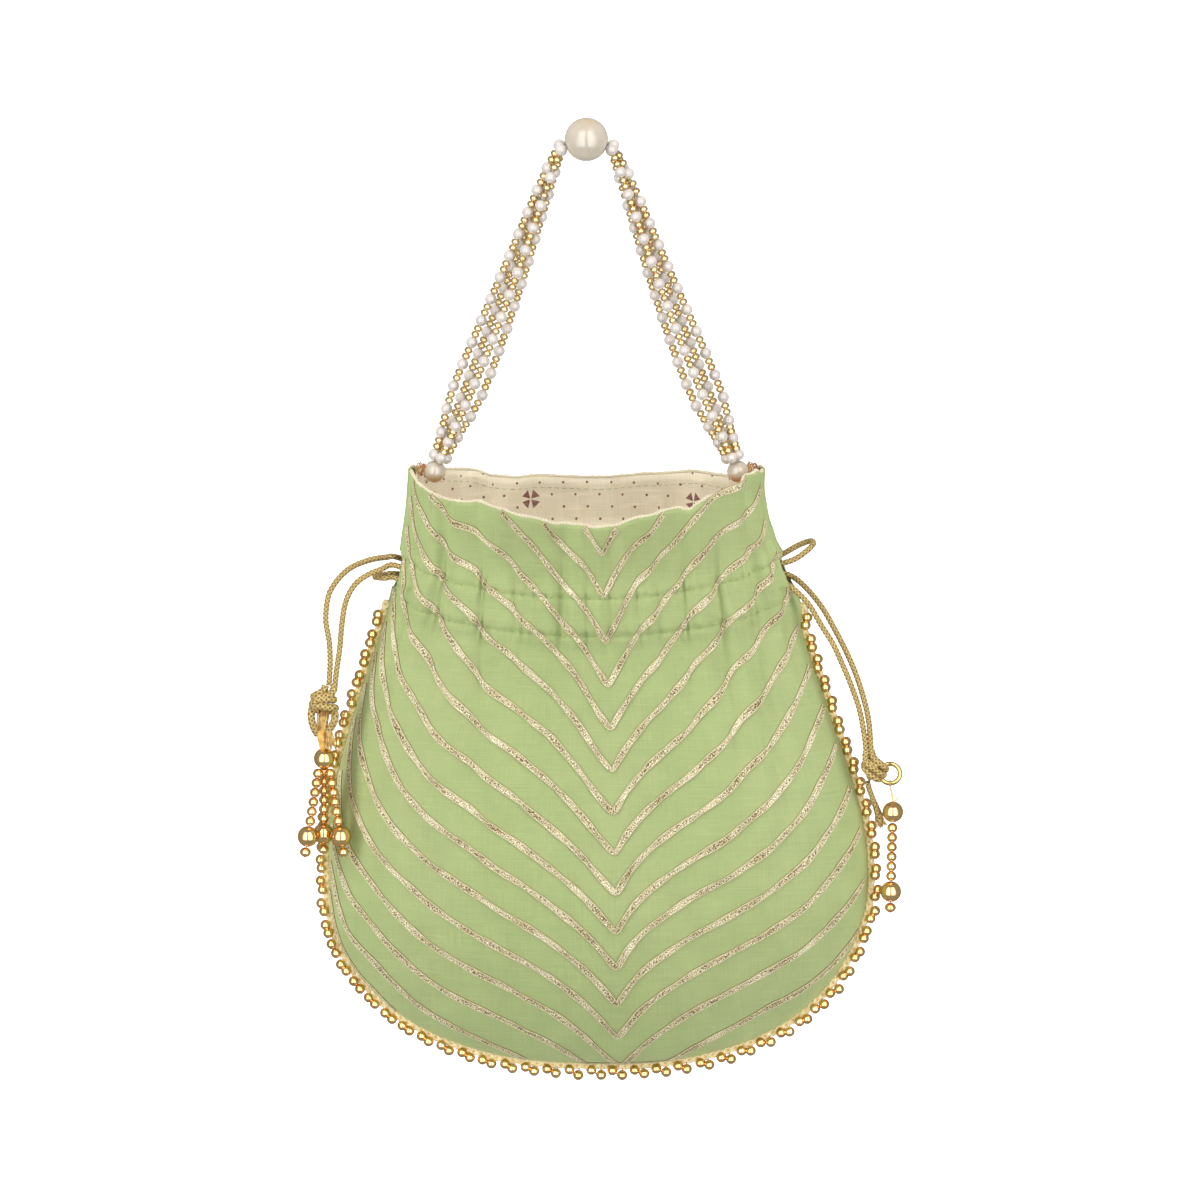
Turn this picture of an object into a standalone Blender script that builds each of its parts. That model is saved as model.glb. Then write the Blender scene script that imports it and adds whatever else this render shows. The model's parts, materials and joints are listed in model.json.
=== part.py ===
# A silk drawstring pouch that hangs from a handle of beaded strands.
# Units are metres, +Z is up, and the front of the bag faces -Y.
# The origin is the centre of the large pearl at the top of the handle.

import math

import bpy
import numpy as np
from mathutils import Vector

# Handle
HANDLE_DROP = 0.142  # top pearl's centre down to the base pearls' centres
BASE_PEARL_SPREAD = 0.1273  # between the centres of the two base pearls
TOP_PEARL_DIAMETER = 0.0182
BASE_PEARL_DIAMETER = 0.0093
STRAND_PEARL_DIAMETER = 0.0046
SEED_BEAD_DIAMETER = 0.0025
STRAND_PERIOD = 0.0097  # one small pearl and two seed beads
STRAND_SPREAD_TOP = 0.00248  # half the distance between neighbouring strands
STRAND_SPREAD_LOW = 0.0044
STRAND_SPREAD_LOW_PLACE = 0.75  # where along the leg the strands lie furthest apart
STRAND_TURN_DEGREES = 110.0  # the four strands turn about each other this far
ANCHOR_BEAD_DIAMETER = 0.0022
ANCHOR_START_SHARE = 0.7  # of a bead's radius, from the base pearl's side to the first bead's centre
ANCHOR_THREAD_SHARE = 0.6  # the thread's thickness as a share of the bead's
LEG_START_OUT = 0.0017  # from the side of the top pearl to the strands' first beads
LEG_START_DROP = 0.0030

# Bag
CORNER_RISE = 0.002  # the mouth's corners stand this far above the base pearls
RIM_HALF_WIDTH = 0.0735
BELLY_HALF_WIDTH = 0.113
RIM_TO_BELLY = 0.171  # height from the mouth's corners down to the widest place
BELLY_TO_BOTTOM = 0.0835
FRONT_RIM_SAG = 0.0187
BACK_RIM_SAG = 0.0120
RIM_DEPTH = 0.037  # from the seam's plane out to the front or the back
CHANNEL_DEPTH = 0.030
BELLY_DEPTH = 0.038
CHANNEL_PLACE = 0.27  # the narrowest depth, as a share of the way to the belly
BAG_LEAN = 0.024  # sideways shift to the right for each metre down
BAG_TWIST_DEGREES = 5.0  # the belly is turned this far against the mouth
SECTION_POWER = 2.4  # how square the bag's cross-section is
SECTION_EDGE = 0.55  # how round it turns into the side seams
BOTTOM_POWER = 2.2
RIM_POWER = 0.64
PANEL_THICKNESS = 0.0008
LINING_THICKNESS = 0.0005
SEAM_GAP = 0.00025  # from the seam's plane to the edge of each panel
PANEL_COLUMNS = 16
PANEL_LOW_ROWS = 10  # below the drawstring channel
LINING_COLUMNS = 12
LINING_LOW_ROWS = 7

# Drawstring channel
CHANNEL_TOP_DROP = 0.036  # below the mouth's corners, at the side seams
CHANNEL_BOTTOM_DROP = 0.052
CHANNEL_SAG = 0.014
SLIT_TAPER = 0.0015
SLIT_RECESS = 0.070  # how far the panels' edges draw back at the side slits
SLIT_EDGE_POWER = 12  # only the outermost stretch of a panel draws back
CORD_DIAMETER = 0.0025
CORD_SPACING = 0.0065  # between the points of a cord's centre line
CORD_ROOM = 0.0022  # more room in the channel than the cord's own thickness
LINING_INSET = 0.0021
LINING_STEP = 0.008  # height over which the lining steps in and out beside the channel
LINING_STEP_SHARE = 0.62
LANE_A_DROP = 0.0405  # the left drawstring's height in the channel
LANE_B_DROP = 0.0462  # the right drawstring's height in the channel
CHANNEL_REACH = 0.90  # how near to the side seams the channel's lanes run

# Trim and tassels
TRIM_START_DROP = 0.058  # the braid starts this far below the mouth's corners
BRAID_DIAMETER = 0.0019
FRINGE_BEAD_DIAMETER = 0.0039
FRINGE_PITCH = 0.00903
FRINGE_STEP_ALONG = 0.0038
FRINGE_STEP_OUT = 0.0025
FRINGE_THREAD_SHARE = 0.3
SMALL_BEAD_DIAMETER = 0.0041
SMALL_BEAD_PITCH = 0.00415
SMALL_BEAD_COUNT = 6
SMALL_THREAD_SHARE = 0.4
LARGE_BEAD_DIAMETER = 0.0087
END_BEAD_DIAMETER = 0.0044
GAP = 0.0003  # between touching pieces

# Places beside the bag: out from the side seam, forward or back from it, and down from the mouth's corners
LEFT_KNOT_PLACE = (0.0113, -0.0157, -0.1033)
LEFT_KNOT_SIZE = (0.0125, 0.0100, 0.0215)
RIGHT_KNOT_PLACE = (0.0113, -0.0104, -0.1254)
RIGHT_KNOT_SIZE = (0.0120, 0.0092, 0.0104)
KNOT_RIDGE = 0.06  # the cord's turns stand out this share of the knot's radius
KNOT_RIDGE_SLOPE = 14.0
RING_STEP = (0.0074, 0.0, -0.0024)  # from the right knot's centre to the ring's
RING_DIAMETER = 0.0097  # outside
RING_WIRE_DIAMETER = 0.0017
RING_CLEARANCE = 0.0003
TASSEL_WIRE_DIAMETER = 0.0007
TASSEL_WIRE_DROP = 0.0078  # from the ring's wire down to the top bead's upper side
WIRE_LOOP_DEGREES = (-70.0, 250.0)
WIRE_LOOP_ASIDE = (0.0009, 0.0006)  # the loop's cut end stands beside the stem
WIRE_STEM_START = 0.0016  # below the loop
LEFT_ENDS_DIAMETER = 0.0034
LEFT_ENDS_LENGTH = 0.0040
LEFT_ENDS_ASIDE = 0.0022

# The three strings of the left tassel: the way each starts around the top bead, and how far
# its large bead hangs aside, in large beads
LEFT_STRINGS = (
    ("left", 200.0, (-0.66, -0.11)),
    ("right", 340.0, (0.71, -0.11)),
    ("rear", 90.0, (0.0, 0.73)),
)
STRING_START_DEGREES = 24.0

# Free stretches of the drawstrings: points on their centre lines, as places beside the bag
LEFT_CORD_BACK_END = (
    (0.0021, 0.0033, -0.0395),
    (0.0061, 0.0031, -0.0396),
    (0.0120, 0.0020, -0.0403),
    (0.0183, -0.0001, -0.0423),
    (0.0226, -0.0032, -0.0451),
    (0.0257, -0.0064, -0.0496),
    (0.0268, -0.0088, -0.0547),
    (0.0254, -0.0109, -0.0640),
    (0.0218, -0.0130, -0.0730),
    (0.0188, -0.0138, -0.0820),
    (0.0163, -0.0146, -0.0915),
)
LEFT_CORD_FRONT_END = (
    (0.0022, -0.0055, -0.0412),
    (0.0076, -0.0063, -0.0429),
    (0.0122, -0.0072, -0.0448),
    (0.0161, -0.0083, -0.0478),
    (0.0183, -0.0096, -0.0520),
    (0.0189, -0.0109, -0.0575),
    (0.0177, -0.0122, -0.0660),
    (0.0155, -0.0133, -0.0760),
    (0.0139, -0.0140, -0.0850),
    (0.0124, -0.0147, -0.0922),
)
LEFT_CORD_LOOP = (
    (-0.0001, -0.0042, -0.0408),
    (0.0026, -0.0050, -0.0400),
    (0.0082, -0.0051, -0.0382),
    (0.0140, -0.0035, -0.0350),
    (0.0172, -0.0004, -0.0327),
    (0.0160, 0.0028, -0.0322),
    (0.0105, 0.0050, -0.0345),
    (0.0042, 0.0059, -0.0378),
    (0.0002, 0.0061, -0.0397),
)
RIGHT_CORD_FRONT_END = (
    (-0.0026, -0.0047, -0.0475),
    (0.0010, -0.0064, -0.0482),
    (0.0048, -0.0085, -0.0511),
    (0.0085, -0.0103, -0.0567),
    (0.0107, -0.0110, -0.0651),
    (0.0129, -0.0117, -0.0730),
    (0.0134, -0.0122, -0.0825),
    (0.0135, -0.0124, -0.0910),
    (0.0132, -0.0123, -0.1000),
    (0.0117, -0.0117, -0.1100),
    (0.0100, -0.0108, -0.1201),
)
RIGHT_CORD_BACK_END = (
    (-0.0004, 0.0055, -0.0468),
    (0.0048, 0.0044, -0.0480),
    (0.0094, 0.0006, -0.0525),
    (0.0132, -0.0042, -0.0590),
    (0.0155, -0.0074, -0.0675),
    (0.0171, -0.0094, -0.0765),
    (0.0183, -0.0109, -0.0855),
    (0.0182, -0.0116, -0.0960),
    (0.0170, -0.0118, -0.1060),
    (0.0137, -0.0109, -0.1197),
)
RIGHT_CORD_LOOP = (
    (0.0004, 0.0033, -0.0468),
    (0.0053, 0.0025, -0.0470),
    (0.0088, -0.0001, -0.0473),
    (0.0083, -0.0033, -0.0470),
    (0.0049, -0.0053, -0.0468),
    (0.0004, -0.0059, -0.0466),
)
RIGHT_CORD_TAIL_STEPS = (  # from the right knot's centre
    (-0.0021, 0.0008, -0.0061),
    (-0.0011, 0.0017, -0.0101),
    (0.0005, 0.0027, -0.0146),
    (0.0021, 0.0034, -0.0191),
    (0.0035, 0.0038, -0.0236),
)

# What follows from the sizes above
CORNER_Z = CORNER_RISE - HANDLE_DROP
BELLY_Z = CORNER_Z - RIM_TO_BELLY
BASE_PEARL_X = BASE_PEARL_SPREAD / 2
TWIST = math.radians(BAG_TWIST_DEGREES)
CHANNEL_ROOM = PANEL_THICKNESS + CORD_DIAMETER + CORD_ROOM  # from the panel's outside to the lining's
CHANNEL_MIDDLE = PANEL_THICKNESS + (CHANNEL_ROOM - PANEL_THICKNESS) / 2


def clear_scene():
    for item in list(bpy.data.objects):
        bpy.data.objects.remove(item)


def make_collection(name):
    group = bpy.data.collections.new(name)
    bpy.context.scene.collection.children.link(group)
    return group


def material(name, colour, roughness, metallic=0.0):
    """A Principled material with one colour, roughness and metallic value."""
    found = bpy.data.materials.get(name)
    if found:
        return found
    made = bpy.data.materials.new(name)
    made.use_nodes = True
    shader = made.node_tree.nodes["Principled BSDF"]
    shader.inputs["Base Color"].default_value = (*colour, 1.0)
    shader.inputs["Roughness"].default_value = roughness
    shader.inputs["Metallic"].default_value = metallic
    return made


def silk():
    return material("green_silk", (0.46, 0.56, 0.24), 0.45)


def cotton():
    return material("printed_cotton", (0.62, 0.52, 0.36), 0.85)


def gold():
    return material("gold_bead", (0.80, 0.52, 0.20), 0.22, 1.0)


def pearl():
    return material("pearl", (0.86, 0.81, 0.72), 0.25)


def gold_thread():
    return material("gold_thread", (0.68, 0.50, 0.18), 0.50)


def finish(item, name, surface, group):
    """Names an object, gives it its material and moves it into the bag's collection."""
    item.name = name
    item.data.name = name
    item.data.materials.clear()
    item.data.materials.append(surface)
    for other in list(item.users_collection):
        other.objects.unlink(item)
    group.objects.link(item)
    return item


# Shape of the bag

def smooth_step(value):
    clipped = np.clip(value, 0.0, 1.0)
    return clipped * clipped * (3.0 - 2.0 * clipped)


def way_down(z):
    """0 at the mouth's corners, 1 at the belly."""
    return (CORNER_Z - z) / RIM_TO_BELLY


def half_width(z):
    return RIM_HALF_WIDTH + (BELLY_HALF_WIDTH - RIM_HALF_WIDTH) * smooth_step(way_down(z))


def half_depth(z):
    """Deep at the mouth, drawn in at the channel, and deepest at the belly."""
    place = way_down(z)
    upper = RIM_DEPTH + (CHANNEL_DEPTH - RIM_DEPTH) * smooth_step(place / CHANNEL_PLACE)
    lower_place = (place - CHANNEL_PLACE) / (1.0 - CHANNEL_PLACE)
    lower = CHANNEL_DEPTH + (BELLY_DEPTH - CHANNEL_DEPTH) * smooth_step(lower_place)
    return np.where(place < CHANNEL_PLACE, upper, lower)


def turned(across, out, z):
    """Turns a point of the bag's own section about the vertical and leans it."""
    angle = TWIST * smooth_step(way_down(z))
    x = BAG_LEAN * (CORNER_Z - z) + across * np.cos(angle) + out * np.sin(angle)
    y = out * np.cos(angle) - across * np.sin(angle)
    return np.stack([x, y, z], axis=-1)


def bag_surface(side, a, z, inset=0.0):
    """A point of the bag: side -1 is the front, a runs from -1 to 1 across it."""
    fall = np.clip((BELLY_Z - z) / (BELLY_TO_BOTTOM - inset), 0.0, None)
    level = np.abs(a) ** SECTION_POWER + fall ** BOTTOM_POWER
    bulge = np.clip(1.0 - level, 0.0, 1.0) ** SECTION_EDGE
    across = a * (half_width(z) - inset)
    out = side * (SEAM_GAP + (half_depth(z) - inset) * bulge)
    return turned(across, out, z)


def beside(side, places):
    """Points of the bag's own frame for places beside its left (-1) or right (1) seam."""
    out, forward, down = np.array(places).reshape(-1, 3).T
    z = CORNER_Z + down
    seam = turned(side * half_width(z), np.zeros_like(z), z)
    return seam + np.stack([side * out, forward, np.zeros_like(z)], axis=1)


def rim_height(side, a):
    sag = FRONT_RIM_SAG if side < 0 else BACK_RIM_SAG
    return CORNER_Z - sag * (1.0 - a * a) ** RIM_POWER


def channel_height(drop, a):
    return CORNER_Z - drop - CHANNEL_SAG * (1.0 - a * a) ** RIM_POWER


def bottom_height(a, inset=0.0):
    reach = (1.0 - np.abs(a) ** SECTION_POWER) ** (1.0 / BOTTOM_POWER)
    return BELLY_Z - (BELLY_TO_BOTTOM - inset) * reach


# Panels and lining

def sheet(name, side, heights, columns, inset_of, recess_of, thickness, surface, group):
    """An open curved sheet given its thickness on the inside.

    Rows run from the bottom seam up to the mouth, and columns across the bag."""
    rows = len(heights) - 1
    bpy.ops.mesh.primitive_grid_add(x_subdivisions=columns, y_subdivisions=rows, size=1.0)
    item = bpy.context.object
    spread = np.sin(np.linspace(-1.0, 1.0, columns + 1) * math.pi / 2)
    if side > 0:
        spread = spread[::-1]
    levels = []
    for row, height_of in enumerate(heights):
        z = height_of(spread)
        drawn_in = spread * (1.0 - recess_of(row) * np.abs(spread) ** SLIT_EDGE_POWER)
        levels.append(bag_surface(side, drawn_in, z, inset_of(z)))
    item.data.vertices.foreach_set("co", np.concatenate(levels).ravel())
    item.data.shade_smooth()
    shell = item.modifiers.new("Thickness", "SOLIDIFY")
    shell.thickness = thickness
    shell.offset = -1.0
    return finish(item, name, surface, group)


def blend_heights(low, high, share):
    return lambda a: low(a) + (high(a) - low(a)) * share


def low_levels(seam, top, count):
    """Rows from the bottom seam up to a level, closest together at the seam."""
    shares = [1.0 - math.cos(k / count * math.pi / 2) for k in range(count)]
    return [blend_heights(seam, top, share) for share in shares]


def panel(name, side, group):
    def seam(a):
        return bottom_height(a)

    def rim(a):
        return rim_height(side, a)

    def slit(drop):
        return lambda a: channel_height(drop, a)

    slit_rows = [
        slit(CHANNEL_BOTTOM_DROP),
        slit(CHANNEL_BOTTOM_DROP - SLIT_TAPER),
        slit(CHANNEL_TOP_DROP + SLIT_TAPER),
        slit(CHANNEL_TOP_DROP),
    ]
    heights = low_levels(seam, slit_rows[0], PANEL_LOW_ROWS)
    first_slit = len(heights)
    heights += slit_rows
    heights += [blend_heights(slit_rows[-1], rim, 0.5), rim]

    def recess_of(row):
        return SLIT_RECESS if row in (first_slit + 1, first_slit + 2) else 0.0

    def inset_of(z):
        return np.zeros_like(z)

    return sheet(name, side, heights, PANEL_COLUMNS, inset_of, recess_of, PANEL_THICKNESS, silk(), group)


def lining_inset(z):
    """Close to the silk, with room for the cords at the channel."""
    middle = CORNER_Z - (CHANNEL_TOP_DROP + CHANNEL_BOTTOM_DROP + CHANNEL_SAG) / 2
    reach = (CHANNEL_BOTTOM_DROP - CHANNEL_TOP_DROP + CHANNEL_SAG) * LINING_STEP_SHARE
    near = np.clip(1.0 - ((z - middle) / reach) ** 4, 0.0, 1.0)
    return LINING_INSET + (CHANNEL_ROOM - LINING_INSET) * smooth_step(near * 2.0)


def lining(name, side, group):
    def seam(a):
        return bottom_height(a, LINING_INSET)

    def rim(a):
        return rim_height(side, a)

    def level(drop):
        return lambda a: channel_height(drop, a)

    def recess_of(row):
        return 0.0

    step_low = level(CHANNEL_BOTTOM_DROP + LINING_STEP)
    step_high = level(CHANNEL_TOP_DROP - LINING_STEP)
    heights = low_levels(seam, step_low, LINING_LOW_ROWS)
    heights += [step_low, level(CHANNEL_BOTTOM_DROP), level(CHANNEL_TOP_DROP), step_high]
    heights += [blend_heights(step_high, rim, 0.5), rim]
    return sheet(
        name, side, heights, LINING_COLUMNS, lining_inset, recess_of, LINING_THICKNESS, cotton(), group
    )


# Cords and strings of beads

def smooth_points(points, spacing):
    """Points a fixed distance apart, read from a smooth curve through the given ones."""
    given = np.array(points)
    ends = np.vstack([2 * given[0] - given[1], given, 2 * given[-1] - given[-2]])
    steps = np.linspace(0.0, 1.0, 24, endpoint=False)[:, None]
    runs = []
    for k in range(1, len(ends) - 2):
        before, here, there, after = ends[k - 1 : k + 3]
        runs.append(
            0.5 * (2 * here + (there - before) * steps
                   + (2 * before - 5 * here + 4 * there - after) * steps ** 2
                   + (3 * here - before - 3 * there + after) * steps ** 3)
        )
    fine = np.vstack(runs + [given[-1:]])
    travelled = np.concatenate([[0.0], np.cumsum(np.linalg.norm(np.diff(fine, axis=0), axis=1))])
    count = max(2, round(travelled[-1] / spacing)) + 1
    wanted = np.linspace(0.0, travelled[-1], count)
    return np.stack([np.interp(wanted, travelled, fine[:, axis]) for axis in range(3)], axis=1)


def tube(name, points, diameter, surface, group, radii=None, sides=2):
    """A round tube along the points, with a radius factor for each point if given."""
    data = bpy.data.curves.new(name, "CURVE")
    data.dimensions = "3D"
    data.bevel_depth = diameter / 2
    data.bevel_resolution = sides
    data.use_fill_caps = True
    line = data.splines.new("POLY")
    line.points.add(len(points) - 1)
    factors = [1.0] * len(points) if radii is None else radii
    for spot, place, factor in zip(line.points, points, factors):
        spot.co = (*place, 1.0)
        spot.radius = factor
    item = bpy.data.objects.new(name, data)
    bpy.context.scene.collection.objects.link(item)
    return finish(item, name, surface, group)


def string_of_beads(name, centres, bead, thread, surface, group, sides=1):
    """Beads on their thread as one string: full size at each centre, thin between."""
    first_way = (centres[1] - centres[0]) / np.linalg.norm(centres[1] - centres[0])
    last_way = (centres[-1] - centres[-2]) / np.linalg.norm(centres[-1] - centres[-2])
    places = [centres[0] - first_way * bead / 2]
    factors = [thread / bead]
    for here, there in zip(centres[:-1], centres[1:]):
        places += [here, (here + there) / 2]
        factors += [1.0, thread / bead]
    places += [centres[-1], centres[-1] + last_way * bead / 2]
    factors += [1.0, thread / bead]
    return tube(name, places, bead, surface, group, radii=factors, sides=sides)


def ball(name, centre, diameter, surface, group, segments=12, rings=8):
    bpy.ops.mesh.primitive_uv_sphere_add(segments=segments, ring_count=rings, radius=diameter / 2)
    item = bpy.context.object
    item.location = centre
    item.data.shade_smooth()
    return finish(item, name, surface, group)


def knot_body(name, centre, size, group):
    """The outer shape of a knot: an egg of the knot's size with the cord's turns around it."""
    bpy.ops.mesh.primitive_uv_sphere_add(segments=14, ring_count=10, radius=0.5)
    item = bpy.context.object
    for corner in item.data.vertices:
        angle = math.atan2(corner.co.y, corner.co.x)
        fade = 1.0 - 4.0 * corner.co.z ** 2
        ridge = 1.0 + KNOT_RIDGE * math.sin(2 * angle + KNOT_RIDGE_SLOPE * corner.co.z) * fade
        corner.co.x *= ridge * size[0]
        corner.co.y *= ridge * size[1]
        corner.co.z *= size[2]
    item.location = centre
    item.data.shade_smooth()
    return finish(item, name, gold_thread(), group)


# Handle

def strand_spread(share):
    """Half the distance between strands: close at both pearls, open low on the leg."""
    rise = smooth_step(share / STRAND_SPREAD_LOW_PLACE)
    fall = smooth_step((1.0 - share) / (1.0 - STRAND_SPREAD_LOW_PLACE))
    return STRAND_SPREAD_TOP + (STRAND_SPREAD_LOW - STRAND_SPREAD_TOP) * np.minimum(rise, fall)


def leg_ends(side):
    """Where a leg's strands start beside the top pearl and end above the base pearl."""
    touch = STRAND_PEARL_DIAMETER / 2 + GAP
    corner = STRAND_SPREAD_TOP * math.sqrt(2.0)
    base = Vector((side * BASE_PEARL_X, 0.0, -HANDLE_DROP))
    start = Vector((side * (TOP_PEARL_DIAMETER / 2 + touch + LEG_START_OUT), 0.0, -LEG_START_DROP))
    along = (base - start).normalized()
    stand_off = math.sqrt((BASE_PEARL_DIAMETER / 2 + touch) ** 2 - corner ** 2)
    return start, base - along * stand_off


def strand_points(side, index):
    start, end = leg_ends(side)
    length = (end - start).length
    periods = round(length / STRAND_PERIOD)
    shares = np.linspace(0.0, 1.0, periods + 1)
    along = np.array((end - start).normalized())
    across = np.cross(along, (0.0, 1.0, 0.0))
    depth = np.array((0.0, 1.0, 0.0))
    angles = math.radians(45.0 + 90.0 * index) + side * math.radians(STRAND_TURN_DEGREES) * shares
    reach = strand_spread(shares) * math.sqrt(2.0)
    centre = np.array(start) + np.outer(shares * length, along)
    return centre + np.outer(reach * np.cos(angles), across) + np.outer(reach * np.sin(angles), depth)


def add_handle(group):
    ball("top_pearl", (0.0, 0.0, 0.0), TOP_PEARL_DIAMETER, pearl(), group, 16, 12)
    for side, word in ((-1, "left"), (1, "right")):
        base = (side * BASE_PEARL_X, 0.0, -HANDLE_DROP)
        ball(f"{word}_base_pearl", base, BASE_PEARL_DIAMETER, pearl(), group)
        for index in range(4):
            centres = strand_points(side, index)
            string_of_beads(f"{word}_strand_{index + 1}", centres, STRAND_PEARL_DIAMETER, SEED_BEAD_DIAMETER,
                            pearl(), group)
        add_anchor(f"{word}_anchor", side, group)


def add_anchor(name, side, group):
    """The short string of beads from a base pearl out over the corner of the mouth."""
    radius = ANCHOR_BEAD_DIAMETER / 2
    inner = side * (BASE_PEARL_X + BASE_PEARL_DIAMETER / 2 + GAP + radius * ANCHOR_START_SHARE)
    outer = side * (RIM_HALF_WIDTH - radius)
    height = CORNER_Z + radius + GAP
    centres = [np.array((x, 0.0, height)) for x in np.linspace(inner, outer, 3)]
    thread = ANCHOR_BEAD_DIAMETER * ANCHOR_THREAD_SHARE
    return string_of_beads(name, centres, ANCHOR_BEAD_DIAMETER, thread, gold(), group)


# Seam trim

def seam_line(outward):
    """The seam from the left side under the bottom to the right, moved outward."""
    start = CORNER_Z - TRIM_START_DROP
    heights = np.linspace(start, BELLY_Z, 40)
    angles = np.linspace(0.0, math.pi, 160)[1:-1]
    low_share = np.abs(np.cos(angles)) ** (2.0 / SECTION_POWER)
    low_across = -np.sign(np.cos(angles)) * low_share * BELLY_HALF_WIDTH
    low_z = BELLY_Z - BELLY_TO_BOTTOM * np.sin(angles) ** (2.0 / BOTTOM_POWER)
    across = np.concatenate([-half_width(heights), low_across, half_width(heights[::-1])])
    z = np.concatenate([heights, low_z, heights[::-1]])
    tangent = np.stack([np.gradient(across), np.gradient(z)], axis=1)
    tangent /= np.linalg.norm(tangent, axis=1)[:, None]
    across = across + tangent[:, 1] * outward
    z = z - tangent[:, 0] * outward
    return turned(across, 0.0 * z, z)


def spaced(line, places):
    """Points at the given distances along a line, with the line's own length."""
    travelled = np.concatenate([[0.0], np.cumsum(np.linalg.norm(np.diff(line, axis=0), axis=1))])
    return np.stack([np.interp(places, travelled, line[:, axis]) for axis in range(3)], axis=1)


def line_length(line):
    return float(np.linalg.norm(np.diff(line, axis=0), axis=1).sum())


def add_trim(group):
    braid_out = BRAID_DIAMETER / 2 + GAP
    braid_line = seam_line(braid_out)
    braid_points = spaced(braid_line, np.linspace(0.0, line_length(braid_line), 64))
    tube("edge_braid", braid_points, BRAID_DIAMETER, gold_thread(), group, sides=1)
    inner_out = BRAID_DIAMETER + 2 * GAP + FRINGE_BEAD_DIAMETER / 2
    inner_line = seam_line(inner_out)
    outer_line = seam_line(inner_out + FRINGE_STEP_OUT)
    pairs = int(line_length(inner_line) / FRINGE_PITCH)
    margin = (line_length(inner_line) - (pairs - 1) * FRINGE_PITCH - FRINGE_STEP_ALONG) / 2
    inner_places = margin + FRINGE_PITCH * np.arange(pairs)
    stretch = line_length(outer_line) / line_length(inner_line)
    inner = spaced(inner_line, inner_places)
    outer = spaced(outer_line, (inner_places + FRINGE_STEP_ALONG) * stretch)
    centres = np.stack([inner, outer], axis=1).reshape(-1, 3)
    thread = FRINGE_BEAD_DIAMETER * FRINGE_THREAD_SHARE
    string_of_beads("bead_fringe", list(centres), FRINGE_BEAD_DIAMETER, thread, gold(), group)


# Drawstrings and tassels

def channel_run(side, drop, direction):
    """Points on a cord's way through a channel, between the silk and the lining."""
    a = np.linspace(-CHANNEL_REACH, CHANNEL_REACH, 13) * direction
    z = channel_height(drop, a)
    return bag_surface(side, a, z, CHANNEL_MIDDLE)


def right_knot_centre():
    return beside(1, RIGHT_KNOT_PLACE)[0]


def add_drawstrings(group):
    left_route = [
        beside(-1, LEFT_CORD_BACK_END)[::-1],
        channel_run(1, LANE_A_DROP, 1),
        beside(1, LEFT_CORD_LOOP)[::-1],
        channel_run(-1, LANE_A_DROP, -1),
        beside(-1, LEFT_CORD_FRONT_END),
    ]
    right_route = [
        beside(1, RIGHT_CORD_FRONT_END)[::-1],
        channel_run(-1, LANE_B_DROP, -1),
        beside(-1, RIGHT_CORD_LOOP)[::-1],
        channel_run(1, LANE_B_DROP, 1),
        beside(1, RIGHT_CORD_BACK_END),
    ]
    for name, route in (("left_drawstring", left_route), ("right_drawstring", right_route)):
        tube(name, smooth_points(np.vstack(route), CORD_SPACING), CORD_DIAMETER, gold_thread(), group)
    tail = smooth_points(right_knot_centre() + np.array(RIGHT_CORD_TAIL_STEPS), CORD_SPACING)
    tube("right_cord_tail", tail, CORD_DIAMETER, gold_thread(), group)
    knot_body("left_knot", beside(-1, LEFT_KNOT_PLACE)[0], LEFT_KNOT_SIZE, group)


def add_right_knot_and_ring(group, cutters):
    """The ring passes through the knot, in a tunnel with a running clearance."""
    knot = knot_body("right_knot", right_knot_centre(), RIGHT_KNOT_SIZE, group)
    ring_centre = right_knot_centre() + np.array(RING_STEP)
    middle_radius = (RING_DIAMETER - RING_WIRE_DIAMETER) / 2
    upright = (math.pi / 2, 0.0, 0.0)
    bpy.ops.mesh.primitive_torus_add(major_segments=24, minor_segments=8, major_radius=middle_radius,
                                     minor_radius=RING_WIRE_DIAMETER / 2,
                                     location=ring_centre, rotation=upright)
    ring = bpy.context.object
    ring.data.shade_smooth()
    finish(ring, "right_ring", gold(), group)
    bpy.ops.mesh.primitive_torus_add(major_segments=24, minor_segments=8, major_radius=middle_radius,
                                     minor_radius=RING_WIRE_DIAMETER / 2 + RING_CLEARANCE,
                                     location=ring_centre, rotation=upright)
    tunnel = bpy.context.object
    finish(tunnel, "ring_tunnel", gold(), cutters)
    tunnel.hide_render = True
    tunnel.display_type = "WIRE"
    cut = knot.modifiers.new("Tunnel", "BOOLEAN")
    cut.operation = "DIFFERENCE"
    cut.object = tunnel


def add_bead_string(prefix, first, direction, group):
    """Six small beads, a large bead and an end bead hanging below each other."""
    centres = [first + direction * SMALL_BEAD_PITCH * k for k in range(SMALL_BEAD_COUNT)]
    thread = SMALL_BEAD_DIAMETER * SMALL_THREAD_SHARE
    string_of_beads(f"{prefix}_small_beads", centres, SMALL_BEAD_DIAMETER, thread, gold(), group)
    large = centres[-1] + direction * (SMALL_BEAD_DIAMETER / 2 + GAP + LARGE_BEAD_DIAMETER / 2)
    ball(f"{prefix}_large_bead", large, LARGE_BEAD_DIAMETER, gold(), group)
    end = large + direction * (LARGE_BEAD_DIAMETER / 2 + GAP + END_BEAD_DIAMETER / 2)
    ball(f"{prefix}_end_bead", end, END_BEAD_DIAMETER, gold(), group, 10, 6)


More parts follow.
